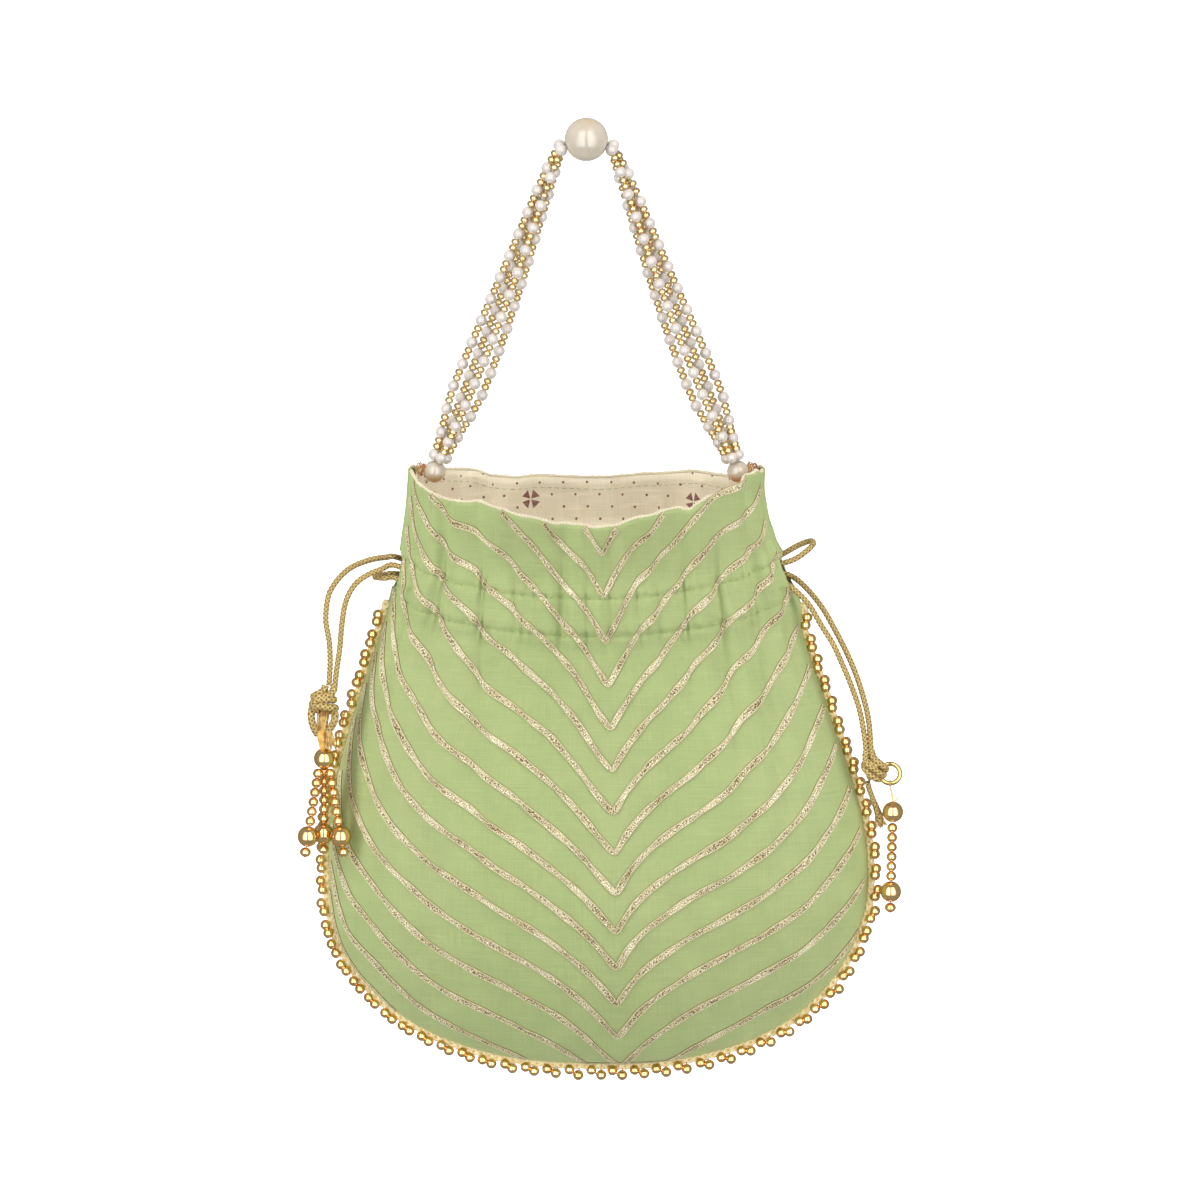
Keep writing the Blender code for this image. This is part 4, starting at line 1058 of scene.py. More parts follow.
def makeBundle(name, top, foot, widths, ridges, nodeName):
    # a bundle of threads: a round body whose width follows a profile, with fine ridges along it
    line = evenly(np.array([top, foot], float), 0.0004)
    share = np.linspace(0.0, 1.0, len(line))
    width = np.interp(share, np.linspace(0.0, 1.0, len(widths)), widths)
    angle = np.linspace(0.0, 2 * math.pi, 48, endpoint=False)[None, :]
    ridge = 1.0 + 0.07 * np.abs(np.sin(ridges / 2 * angle + 3.0 * share[:, None])) - 0.035
    assign(makeTube(name, line, width[:, None] * ridge, 48), "bag", [nodeName])


tassel = {
    "smallBead": 0.0041,
    "smallSeen": 0.0043,  # the balls are drawn so large that they touch
    "pitch": 0.00415,
    "count": 6,
    "largeBead": 0.0087,
    "endBead": 0.0044,
    "endSeen": 0.0047,
    "gap": 0.0003,
    "endsAside": 0.0022,
    "endsLength": 0.0040,
    "knotHalf": 0.01075,
    "ring": 0.0097,
    "ringWire": 0.0017,
    "ringSeen": 0.0019,
    "wire": 0.0007,
    "wireDrop": 0.0078,
    "startTilt": math.radians(24.0),
    "clear": 0.00015,  # room between the top bead and the first small ones
}
leftTopBead = leftKnot - np.array((
    tassel["endsAside"], 0.0,
    tassel["knotHalf"] + 2 * tassel["gap"] + tassel["endsLength"] + tassel["largeBead"] / 2))
hook = ringCentre - np.array((0.0, 0.0, (tassel["ring"] - tassel["ringWire"]) / 2))
rightTopBead = hook - np.array((0.0, 0.0, tassel["wireDrop"] + tassel["gap"] + tassel["largeBead"] / 2))
rightTopBead = rightTopBead + (0.0012, 0.0, 0.0)

makeTurns("left_knot_turns", leftKnot, knots["leftTurns"], knots["leftDiameter"], "left_knot")
makeBundle("left_cord_bound_end", leftKnot + (-0.0036, -0.0006, -0.0074), leftTopBead + (-0.0002, 0.0, 0.0040),
           [0.0012, 0.0017, 0.0019, 0.0019, 0.0018, 0.0017, 0.0016], 18, "left_cord_ends")
makeTurns("right_knot_turns", rightKnot, knots["rightTurns"], knots["rightDiameter"], "right_knot")
# the cut end widens downward, and its yarns turn one way only
tailLine = smoothLine(rightKnot + np.array(rightTailSteps), 0.0004)
tailShare = np.linspace(0.0, 1.0, len(tailLine))
tailAngle = np.linspace(0.0, 2 * math.pi, cordSet["sides"], endpoint=False)[None, :]
tailTurn = 2 * math.pi * lengths(tailLine)[:, None] / cordSet["tailPitch"]
tailWidth = (cordSet["diameter"] / 2 + cordSet["tailWiden"] * smoothStep((tailShare - 0.35) / 0.6))[:, None]
tailRadius = tailWidth * (0.9 + 0.1 * np.cos(cordSet["strands"] * (tailAngle + tailTurn)))
cutEnd = makeTube("right_cord_cut_end", tailLine, tailRadius, cordSet["sides"])
assign(cutEnd, "bag", ["right_cord_tail"])


def makeThreads(name, routes, diameter, bodyName, sides=6, nodes=()):
    grids = [tubeGrid(smoothLine(np.array(route), diameter * 1.2), diameter / 2, sides) for route in routes]
    assign(joinTubes(name, grids), bodyName, nodes)


def frayedEnds(foot, way, count, reach, spread, seed):
    # loose yarns that fan out of a cut cord end
    rng = np.random.default_rng(seed)
    aside = rng.normal(0.0, 1.0, (count, 3))
    aside -= (aside @ way)[:, None] * way
    tips = foot + way * reach * rng.uniform(0.5, 1.1, (count, 1)) + aside * spread
    start = foot + aside * spread * 0.45 - way * 0.0006
    return np.stack([start, (start + tips) / 2 + way * reach * 0.12, tips], axis=1)


# loose yarns inside the left knot, each beside one route
coreSpread = np.random.default_rng(21).normal(0.0, 1.0, (30, 1, 3)) * (0.0010, 0.0005, 0.0003)
coreRoute = leftKnot + np.array([(-0.0024, 0.0006, 0.0014), (-0.0029, 0.0002, -0.0040), (-0.0034, 0.0002, -0.0098)])
makeThreads("left_knot_core", coreRoute + coreSpread * np.array([1.4, 1.2, 0.8])[None, :, None],
            0.0009, "bag")
tailWay = (tailLine[-1] - tailLine[-6]) / np.linalg.norm(tailLine[-1] - tailLine[-6])
makeThreads("right_cord_frayed_yarns", frayedEnds(tailLine[-8], tailWay, 60, 0.0052, 0.00105, 3),
            0.00040, "bag", 5)
makeThreads("left_cord_loose_yarns",
            frayedEnds(leftKnot + (-0.0002, -0.0012, -0.0084), np.array((0.12, -0.05, -0.99)), 40, 0.0072, 0.0011, 8),
            0.00040, "bag", 5)
print("knots made")


def makeRing():
    # a wire ring: the wire's circle carried round the ring's own circle
    radius = (tassel["ring"] - tassel["ringWire"]) / 2 + 0.0002
    rows, sides = 72, 20
    turn = np.linspace(0.0, 2 * math.pi, rows, endpoint=False)[:, None]
    angle = np.linspace(0.0, 2 * math.pi, sides, endpoint=False)[None, :]
    reach = radius + tassel["ringSeen"] / 2 * np.cos(angle)
    points = np.stack([reach * np.cos(turn), tassel["ringSeen"] / 2 * np.sin(angle) + 0 * turn,
                       reach * np.sin(turn)], axis=-1) + ringCentre
    quads = gridFaces(rows + 1, sides, closed=True) % (rows * sides)
    assign(makeMesh("jump_ring", points, quads.tolist()), "right_ring", ["right_ring"])


makeRing()
eye = tassel["ringWire"] / 2 + tassel["gap"] + tassel["wire"] / 2
loopTurn = np.radians(np.linspace(-60.0, 245.0, 14))
wireLoop = hook + np.stack([0 * loopTurn, eye * np.cos(loopTurn), eye * np.sin(loopTurn)], axis=1)
wireStem = [hook + (0.0001, 0.0, -0.0022), hook + (0.0006, 0.0, -0.0048), rightTopBead + (0.0, 0.0, 0.0043)]
wireTwist = [hook + (0.0, -0.0002, -0.0018), hook + (0.0009, 0.0004, -0.0046),
             rightTopBead + (0.0004, -0.0003, 0.0047), rightTopBead + (0.0022, -0.0004, 0.0059)]
makeThreads("tassel_wire", [np.vstack([wireLoop, wireStem]), wireTwist], 0.00055, "right_tassel",
            nodes=["right_tassel_wire"])


def makeString(prefix, first, way, bodyName):
    # six small beads, a large one and an end bead below each other
    t = tassel
    small = first + np.outer(np.arange(t["count"]) * t["pitch"], way)
    large = small[-1] + way * (t["smallBead"] / 2 + t["gap"] + t["largeBead"] / 2)
    end = large + way * (t["largeBead"] / 2 + t["gap"] + t["endBead"] / 2)
    makeBalls(f"{prefix}_small_balls", small, t["smallSeen"] / 2, "small", bodyName,
              [f"{prefix}_small_beads"], 0.97, np.broadcast_to(way, small.shape))
    makeBalls(f"{prefix}_large_ball", [large], t["largeBead"] / 2, "large", bodyName,
              [f"{prefix}_large_bead"])
    makeBalls(f"{prefix}_end_ball", [end], t["endSeen"] / 2, "small", bodyName,
              [f"{prefix}_end_bead"], 0.86, np.array([way]))
    makeThreads(f"{prefix}_thread", [[small[0] - way * 0.0021, large, end + way * 0.0023]], 0.0006,
                bodyName)


makeBalls("left_tassel_top_ball", [leftTopBead], tassel["largeBead"] / 2, "large", "left_tassel",
          ["left_tassel_top_bead"])
hang = tassel["pitch"] * (tassel["count"] - 1) + tassel["smallBead"] / 2 + tassel["gap"] + tassel["largeBead"] / 2
reachOut = tassel["largeBead"] / 2 + tassel["gap"] + tassel["smallBead"] / 2 + tassel["clear"]
# each string's way out of the top bead, in degrees, and how far aside its large bead hangs, in large beads
for word, azimuth, aside in (
        ("left", 200.0, (-0.80, -0.11)), ("right", 340.0, (0.80, -0.11)), ("rear", 90.0, (-0.05, 0.66))):
    turnTo, tilt = math.radians(azimuth), tassel["startTilt"]
    startWay = np.array((math.sin(tilt) * math.cos(turnTo), math.sin(tilt) * math.sin(turnTo), -math.cos(tilt)))
    leanBy = (np.array(aside) * tassel["largeBead"] - startWay[:2] * reachOut) / hang
    stringWay = np.array((*leanBy, -1.0)) / np.linalg.norm((*leanBy, -1.0))
    makeString(f"left_tassel_{word}", leftTopBead + startWay * reachOut, stringWay, f"left_tassel_{word}_string")
makeBalls("right_tassel_top_ball", [rightTopBead], tassel["largeBead"] / 2, "large", "right_tassel",
          ["right_tassel_top_bead"])
makeString("right_tassel", rightTopBead + (-0.0002, 0.0, -reachOut), np.array((-0.022, 0.0, -0.99976)),
           "right_tassel")
print("tassels made")

# the handle's ends: wraps of thread over the mouth's corners
for side, word in ((-1, "left"), (1, "right")):
    rng = np.random.default_rng(11 + side)
    pearlSide = np.array((side * (handle["spread"] / 2 + handle["basePearl"] / 2), 0.0, -handle["drop"]))
    routes = []
    for k in range(9):
        cornerX = side * (0.0722 - 0.0042 * rng.random())
        foot = np.array((cornerX, 0.0016 * rng.normal(), bag["cornerZ"] - 0.0022 - 0.0010 * rng.random()))
        over = np.array((cornerX - side * 0.0006, 0.0012 * rng.normal(),
                         bag["cornerZ"] + 0.0010 + 0.0007 * rng.random()))
        inner = pearlSide + (side * -0.0004, 0.0010 * rng.normal(), 0.0012 * rng.normal())
        routes.append([inner, (inner + over) / 2 + (0, 0, 0.0006), over, foot + (side * 0.0009, 0, 0), foot])
    makeThreads(f"{word}_corner_stitches", routes, 0.00042, "bag", nodes=[f"{word}_anchor"])
tailTop = np.array((-0.0660, -0.0012, bag["cornerZ"] + 0.0012))
makeThreads("left_loose_thread_ends", [
    [tailTop, tailTop + (-0.0004, 0.0, 0.0035), tailTop + (-0.0014, 0.0, 0.0085)],
    [tailTop + (0.0012, 0.0, 0.0), tailTop + (0.0012, 0.0, 0.0026), tailTop + (0.0016, 0.0, 0.0052)],
], 0.00022, "bag", 5)
print("corner stitches made")


# rows of stitches: short threads that dip into the cloth at both ends
stitching = {
    "length": 0.0021, "pitch": 0.0031, "thread": 0.00034, "lift": 0.00022, "sunk": 0.00010,
    "hem": 0.0049, "hemLength": 0.026, "hemPitch": 0.042,  # the hem's two are shares of half the mouth's width
}


def makeStitches(name, rows, length, pitch):
    # each row is a function from place along the row to a point; the thread lifts by a half sine between its ends
    share = np.linspace(0.0, 1.0, 6)
    grids = []
    for surface, first, last in rows:
        places = np.arange(first, last, pitch)[:, None] + (share[None, :] - 0.5) * length
        lift = stitching["lift"] * np.sin(math.pi * share)[None, :] - stitching["sunk"] + 0.0 * places
        grids += [tubeGrid(line, stitching["thread"] / 2, 5) for line in surface(places, lift)]
    assign(joinTubes(name, grids), "bag")


def channelStitch(side, drop):
    def surface(u, lift):
        a = acrossOf(u, np.full_like(u, bag["cornerZ"] - drop))
        for _ in range(3):
            z = channelHeight(drop, np.clip(a, -1.0, 1.0))
            a = acrossOf(u, z)
        return clothPoint(side, u, z, lift)
    return surface


def hemStitch(side):
    def surface(a, lift):
        z = rimHeight(side, a) - stitching["hem"]
        arcs = np.interp(a, tableA, sectionArc(bag["cornerZ"] - 0.02))
        u = arcs * halfCloth / sectionArc(bag["cornerZ"] - 0.02)[-1]
        return clothPoint(side, u, z, -liningInset(z) - lift)
    return surface


reach = halfCloth * 0.955
for side, word in ((-1, "front"), (1, "back")):
    rows = [(channelStitch(side, bag[drop]), -reach, reach) for drop in ("channelTop", "channelBottom")]
    makeStitches(f"{word}_channel_stitches", rows, stitching["length"], stitching["pitch"])
makeStitches("back_hem_stitches", [(hemStitch(1), -0.93, 0.93)], stitching["hemLength"],
             stitching["hemPitch"])
print("stitches made")


# materials
def tone(red, green, blue):
    # a screen colour from 0 to 255 as the light it stands for
    share = np.array((red, green, blue)) / 255.0
    light = np.where(share > 0.04045, ((share + 0.055) / 1.055) ** 2.4, share / 12.92)
    return (*[float(v) for v in light], 1.0)


def node(tree, kind, inputs=None, **settings):
    made = tree.nodes.new(kind)
    for word, value in settings.items():
        setattr(made, word, value)
    for word, value in (inputs or {}).items():
        if isinstance(value, bpy.types.NodeSocket):
            tree.links.new(value, made.inputs[word])
        else:
            made.inputs[word].default_value = value
    return made


def calc(tree, operation, *values, clamp=False):
    return node(tree, "ShaderNodeMath", dict(enumerate(values)), operation=operation, use_clamp=clamp).outputs[0]


def past(tree, value, level, gain):
    # 0 up to a level, and rising from there to 1
    return calc(tree, "MULTIPLY", calc(tree, "SUBTRACT", value, level), gain, clamp=True)


def mix(tree, share, first, second):
    return node(tree, "ShaderNodeMix", {0: share, 6: first, 7: second}, data_type="RGBA").outputs[2]


def choose(tree, share, first, second):
    return node(tree, "ShaderNodeMix", {0: share, 2: first, 3: second}).outputs[0]


def combine(tree, operation, first, second):
    return node(tree, "ShaderNodeVectorMath", {0: first, 1: second}, operation=operation).outputs[0]


def vectorOf(tree, x, y, z):
    return node(tree, "ShaderNodeCombineXYZ", {0: x, 1: y, 2: z}).outputs[0]


def stretched(tree, vector, scale, place=(0.0, 0.0, 0.0)):
    return node(tree, "ShaderNodeMapping", {"Vector": vector, "Scale": scale, "Location": place}).outputs[0]


def noise(tree, vector, scale, detail=2.0, roughness=0.5):
    return node(tree, "ShaderNodeTexNoise", {"Vector": vector, "Scale": scale, "Detail": detail,
                                             "Roughness": roughness}).outputs[0]


def startGroup(name, outputs, **inputs):
    # inputs by name and default: a number is a value, four numbers a colour and None a vector; Color goes out as a
    # colour and every other output as a value
    tree = bpy.data.node_groups.new(name, "ShaderNodeTree")
    for word, value in inputs.items():
        kind = "Vector" if value is None else "Color" if isinstance(value, tuple) else "Float"
        socket = tree.interface.new_socket(word, in_out="INPUT", socket_type="NodeSocket" + kind)
        if value is not None:
            socket.default_value = value
    for word in outputs:
        kind = "Color" if word == "Color" else "Float"
        tree.interface.new_socket(word, in_out="OUTPUT", socket_type="NodeSocket" + kind)
    return tree, tree.nodes.new("NodeGroupInput").outputs, tree.nodes.new("NodeGroupOutput").inputs


def useGroup(tree, group, **inputs):
    return node(tree, "ShaderNodeGroup", inputs, node_tree=group).outputs


def makeWeave():
    # threads across and along: noise drawn out each way, so that thick and thin yarns show
    tree, entry, leave = startGroup("plain weave", ["Height", "Shade"], Vector=None, Across=200.0, Along=200.0,
                                    Slub=0.5)
    weftScale = vectorOf(tree, 5.0, entry["Along"], 1.0)
    warpScale = vectorOf(tree, entry["Across"], 7.0, 1.0)
    weft = noise(tree, combine(tree, "MULTIPLY", entry["Vector"], weftScale), 1.0, 1.0)
    warp = noise(tree, combine(tree, "MULTIPLY", entry["Vector"], warpScale), 1.0, 1.0)
    slubScale = vectorOf(tree, 9.0, calc(tree, "MULTIPLY", entry["Along"], 0.35), 1.0)
    slub = noise(tree, combine(tree, "MULTIPLY", entry["Vector"], slubScale), 1.0, 0.0)
    slub = calc(tree, "SMOOTH_MAX", calc(tree, "SUBTRACT", slub, 0.60), 0.0, 0.06)
    threads = calc(tree, "MULTIPLY", calc(tree, "ADD", weft, warp), 0.5)
    lifted = calc(tree, "MULTIPLY_ADD", slub, calc(tree, "MULTIPLY", entry["Slub"], 4.0), threads)
    tree.links.new(lifted, leave["Height"])
    tree.links.new(calc(tree, "SUBTRACT", lifted, 0.5), leave["Shade"])
    return tree


def makeDrift():
    # a colour made lighter and darker by soft noise, and by a given shade
    tree, entry, leave = startGroup("uneven tone", ["Color", "Mask"], Color=(0.5, 0.5, 0.5, 1.0), Vector=None,
                                    Scale=10.0, Amount=0.2, Shade=0.0)
    soft = calc(tree, "SUBTRACT", noise(tree, entry["Vector"], entry["Scale"], 3.0), 0.5)
    gain = calc(tree, "MULTIPLY_ADD", soft, entry["Amount"], 1.0)
    gain = calc(tree, "ADD", gain, entry["Shade"])
    scaled = node(tree, "ShaderNodeVectorMath", {0: entry["Color"]}, operation="SCALE")
    tree.links.new(gain, scaled.inputs["Scale"])
    tree.links.new(scaled.outputs[0], leave["Color"])
    tree.links.new(calc(tree, "ADD", soft, 0.5), leave["Mask"])
    return tree


def makeYarns():
    # braided yarns on a cord's own UV: two sets of crossing spirals, each yarn made of fine threads
    tree, entry, leave = startGroup("braided yarns", ["Height", "Shade"], Vector=None, Yarns=4.0, Turns=1.39,
                                    Fibres=6.0)
    parts = node(tree, "ShaderNodeSeparateXYZ", {0: entry["Vector"]}).outputs
    climb = calc(tree, "MULTIPLY", parts[1], entry["Turns"])
    waves, fine = [], []
    for operation in ("ADD", "SUBTRACT"):
        phase = calc(tree, "MULTIPLY", calc(tree, operation, parts[0], climb), entry["Yarns"])
        phase = calc(tree, "MULTIPLY", phase, 2 * math.pi)
        waves.append(calc(tree, "COSINE", phase))
        fine.append(calc(tree, "COSINE", calc(tree, "MULTIPLY", phase, entry["Fibres"])))
    upper = calc(tree, "GREATER_THAN", waves[0], waves[1])
    top = calc(tree, "MAXIMUM", waves[0], waves[1])
    fibre = choose(tree, upper, fine[1], fine[0])
    tree.links.new(calc(tree, "MULTIPLY_ADD", fibre, 0.12, calc(tree, "MULTIPLY", top, 0.5)), leave["Height"])
    # Shade is painted shade: dark where the yarns sink under each other, light on their crests
    shade = calc(tree, "MULTIPLY_ADD", fibre, 0.10, calc(tree, "MULTIPLY_ADD", top, 0.36, -0.22))
    tree.links.new(shade, leave["Shade"])
    return tree


def makeDots():
    # staggered rows: distance from each cell's middle, as a dot and as a flower of four petals
    tree, entry, leave = startGroup("staggered motifs", ["Mask"], Vector=None, Pitch=0.1, Row=0.05, Size=0.006,
                                    Petals=0.0)
    parts = node(tree, "ShaderNodeSeparateXYZ", {0: entry["Vector"]}).outputs
    row = calc(tree, "DIVIDE", parts[1], entry["Row"])
    number = calc(tree, "FLOOR", row)
    shift = calc(tree, "MULTIPLY", calc(tree, "FLOORED_MODULO", number, 2.0), 0.5)
    column = calc(tree, "ADD", calc(tree, "DIVIDE", parts[0], entry["Pitch"]), shift)
    x = calc(tree, "MULTIPLY", calc(tree, "SUBTRACT", calc(tree, "FRACT", column), 0.5), entry["Pitch"])
    y = calc(tree, "MULTIPLY", calc(tree, "SUBTRACT", calc(tree, "FRACT", row), 0.5), entry["Row"])
    p = calc(tree, "ABSOLUTE", calc(tree, "MULTIPLY", calc(tree, "ADD", x, y), 0.7071))
    q = calc(tree, "ABSOLUTE", calc(tree, "MULTIPLY", calc(tree, "SUBTRACT", x, y), 0.7071))
    longer, shorter = calc(tree, "MAXIMUM", p, q), calc(tree, "MINIMUM", p, q)
    away = calc(tree, "SQRT", calc(tree, "ADD", calc(tree, "MULTIPLY", x, x), calc(tree, "MULTIPLY", y, y)))
    reach = choose(tree, entry["Petals"], away, longer)
    disc = past(tree, entry["Size"], reach, 1200.0)
    petal = past(tree, calc(tree, "SUBTRACT", calc(tree, "MULTIPLY", longer, 0.62), shorter), 0.0015, 1200.0)
    petal = calc(tree, "MAXIMUM", petal, calc(tree, "SUBTRACT", 1.0, entry["Petals"]))
    tree.links.new(calc(tree, "MULTIPLY", disc, petal), leave["Mask"])
    return tree


weaveGroup, driftGroup, yarnGroup, dotGroup = makeWeave(), makeDrift(), makeYarns(), makeDots()
print("node groups made")


# finishes: one dictionary each
finishes = {
    "silk": {"color": tone(164, 182, 118), "light": tone(190, 196, 146), "roughness": 0.46, "sheen": 0.35,
             "across": 330.0, "along": 300.0, "slub": 0.12, "bump": 0.00025},
    "cotton": {"color": tone(238, 226, 200), "print": tone(118, 52, 50), "roughness": 0.88, "bump": 0.0003},
    "edge": {"color": tone(226, 214, 184), "roughness": 0.8},
    "strip": {"edge": tone(216, 208, 166), "outline": tone(140, 116, 68), "middle": tone(196, 180, 130),
              "fleck": tone(104, 82, 44), "paintedGlint": tone(255, 250, 224), "roughness": 0.40},
    "cord": {"color": tone(214, 188, 120), "dark": tone(108, 78, 36), "roughness": 0.40, "metal": 0.30},
    "braid": {"color": tone(255, 240, 190), "dark": tone(244, 208, 144), "roughness": 0.5, "metal": 0.10},
    "bead": {"first": tone(228, 186, 122), "second": tone(242, 210, 152), "worn": tone(164, 116, 62),
             "roughness": 0.09},
    "ring": {"first": tone(212, 186, 116), "second": tone(212, 186, 116), "worn": tone(150, 116, 60),
             "roughness": 0.14},
    "seed": {"first": tone(234, 206, 148), "second": tone(246, 226, 176), "worn": tone(190, 150, 92),
             "roughness": 0.26},
    # a tan foot where the pearl turns down, a painted reflection of the gold below it, and a beige cap at the very
    # top
    "pearl": {"color": tone(204, 193, 174), "second": tone(212, 200, 181), "roughness": 0.16,
              "foot": tone(196, 150, 92), "footZ": -0.1425, "cap": tone(206, 184, 150), "capZ": 0.0058},
    "strand": {"color": tone(214, 208, 204), "second": tone(226, 216, 206), "roughness": 0.12,
               "foot": tone(214, 208, 204), "footZ": -1.0, "cap": tone(214, 208, 204), "capZ": 1.0},
    "stitch": {"color": tone(214, 170, 96), "dark": tone(150, 74, 52), "roughness": 0.6},
    "yarn": {"color": tone(244, 210, 134), "dark": tone(190, 144, 74), "roughness": 0.5},
    "satin": {"color": tone(252, 208, 112), "dark": tone(222, 168, 80), "roughness": 0.45},
    "pale": {"color": tone(206, 206, 176), "dark": tone(170, 168, 140), "roughness": 0.7},
    "green": {"color": tone(178, 194, 128), "dark": tone(140, 158, 92), "roughness": 0.6},
}


def startMaterial(name, **plain):
    made = bpy.data.materials.new(name)
    made.use_nodes = True
    tree = made.node_tree
    shader = tree.nodes["Principled BSDF"]
    for word, value in plain.items():
        shader.inputs[word.replace("_", " ")].default_value = value
    return made, tree, shader


def plug(tree, shader, **sources):
    for word, source in sources.items():
        tree.links.new(source, shader.inputs[word.replace("_", " ")])


def toneDrift(tree, color, vector, scale, amount, **shade):
    return useGroup(tree, driftGroup, Color=color, Vector=vector, Scale=scale, Amount=amount, **shade)


def motif(tree, vector, pitch, row, size, **petals):
    return useGroup(tree, dotGroup, Vector=vector, Pitch=pitch, Row=row, Size=size, **petals)["Mask"]


def bumped(tree, height, distance, strength=1.0):
    return node(tree, "ShaderNodeBump", {"Height": height, "Distance": distance, "Strength": strength}).outputs[0]


def clothPlaces(tree):
    return node(tree, "ShaderNodeUVMap", uv_map="cloth").outputs[0]


def solidPlaces(tree):
    return node(tree, "ShaderNodeTexCoord").outputs["Object"]


def makeSilk(p):
    made, tree, shader = startMaterial(
        "green silk", Sheen_Weight=p["sheen"], Sheen_Roughness=0.35, Sheen_Tint=tone(226, 236, 190),
        Specular_IOR_Level=0.30)
    at = clothPlaces(tree)
    weave = useGroup(tree, weaveGroup, Vector=at, Across=p["across"], Along=p["along"], Slub=p["slub"])
    broad = noise(tree, stretched(tree, at, (1.6, 0.7, 1.0)), 1.0, 2.0)
    base = mix(tree, calc(tree, "MULTIPLY", broad, 0.5), p["color"], p["light"])
    shade = calc(tree, "MULTIPLY", weave["Shade"], 0.50)
    toned = toneDrift(tree, base, at, 7.0, 0.24, Shade=shade)
    rough = calc(tree, "MULTIPLY_ADD", weave["Shade"], 0.35, p["roughness"], clamp=True)
    plug(tree, shader, Base_Color=toned["Color"], Roughness=rough,
         Normal=bumped(tree, weave["Height"], p["bump"], 0.7))
    return made


def makeCotton(p):
    made, tree, shader = startMaterial("printed cotton", Sheen_Weight=0.12, Sheen_Roughness=0.5)
    at = clothPlaces(tree)
    weave = useGroup(tree, weaveGroup, Vector=at, Across=150.0, Along=150.0, Slub=0.4)
    toned = toneDrift(tree, p["color"], at, 5.0, 0.16, Shade=calc(tree, "MULTIPLY", weave["Shade"], 0.30))
    # the print wobbles a little
    swirl = node(tree, "ShaderNodeTexNoise", {"Vector": at, "Scale": 60.0}).outputs[1]
    moved = combine(tree, "ADD", at, combine(tree, "MULTIPLY", swirl, (0.0035, 0.0035, 0.0)))
    dots = motif(tree, moved, 0.101, 0.0504, 0.0058)
    centred = stretched(tree, moved, (1.0, 1.0, 1.0), (0.5915, 1.805, 0.0))
    flowers = motif(tree, centred, 0.70, 0.40, 0.036, Petals=1.0)
    near = motif(tree, centred, 0.70, 0.40, 0.056)
    dots = calc(tree, "MULTIPLY", dots, calc(tree, "SUBTRACT", 1.0, near))  # no dots touch a flower
    ink = calc(tree, "MULTIPLY", calc(tree, "MAXIMUM", dots, flowers),
               calc(tree, "MULTIPLY_ADD", noise(tree, at, 90.0), 0.5, 0.62), clamp=True)
    plug(tree, shader, Base_Color=mix(tree, ink, toned["Color"], p["print"]),
         Roughness=calc(tree, "MULTIPLY_ADD", toned["Mask"], 0.1, p["roughness"] - 0.05),
         Normal=bumped(tree, weave["Height"], p["bump"], 0.6))
    return made


def makeEdge(p):
    made, tree, shader = startMaterial("cream rolled edge", Sheen_Weight=0.15, Sheen_Roughness=0.5)
    at = clothPlaces(tree)
    yarn = useGroup(tree, yarnGroup, Vector=at, Yarns=1.0, Turns=7.0, Fibres=3.0)
    toned = toneDrift(tree, p["color"], stretched(tree, at, (1.0, 0.4, 1.0)), 2.0, 0.30,
                      Shade=calc(tree, "MULTIPLY", yarn["Shade"], 0.25))
    plug(tree, shader, Base_Color=toned["Color"],
         Roughness=calc(tree, "MULTIPLY_ADD", toned["Mask"], 0.1, p["roughness"]),
         Normal=bumped(tree, yarn["Height"], 0.0002, 0.5))
    return made


def makeStripFinish(p):
    # pale threads with a dark outline at both edges, and a crinkled metallic middle with dark flecks, painted shade
    # in the crinkle's hollows, and painted glints
    made, tree, shader = startMaterial("gold strip", Specular_IOR_Level=0.35)
    at = clothPlaces(tree)
    parts = node(tree, "ShaderNodeSeparateXYZ", {0: at}).outputs
    fromMiddle = calc(tree, "ABSOLUTE", calc(tree, "SUBTRACT", parts[1], 0.5))
    edge = past(tree, fromMiddle, 0.28, 14.0)
    rim = past(tree, fromMiddle, 0.445, 26.0)
    flat = stretched(tree, at, (1.0, 0.29, 1.0))
    crumple = noise(tree, flat, 12.0, 1.0, 0.6)
    stretchShade = calc(tree, "MULTIPLY", calc(tree, "SUBTRACT", noise(tree, flat, 0.7, 1.0), 0.5), 0.30)
    level = calc(tree, "SUBTRACT", 0.50, stretchShade)
    # dark flecks where the crinkle's bump is low: painted shade in its hollows
    fleck = past(tree, level, crumple, 16.0)
    # painted glints: near-white specks that stand in for the foil's reflections
    paintedGlint = past(tree, noise(tree, flat, 20.0, 1.0), calc(tree, "ADD", level, 0.035), 14.0)
    middle = mix(tree, paintedGlint, mix(tree, fleck, p["middle"], p["fleck"]), p["paintedGlint"])
    beads = calc(tree, "SINE", calc(tree, "MULTIPLY", parts[0], 62.0))
    both = mix(tree, rim, mix(tree, edge, middle, p["edge"]), p["outline"])
    toned = toneDrift(tree, both, flat, 3.0, 0.2, Shade=calc(tree, "MULTIPLY", beads,
                                                             calc(tree, "MULTIPLY", edge, 0.16)))
    plug(tree, shader, Base_Color=toned["Color"],
         Metallic=calc(tree, "MULTIPLY", calc(tree, "SUBTRACT", 1.0, edge), 0.08),
         Roughness=calc(tree, "MULTIPLY_ADD", edge, 0.30, p["roughness"]),
         Normal=bumped(tree, crumple, 0.0004, 0.8))
    return made


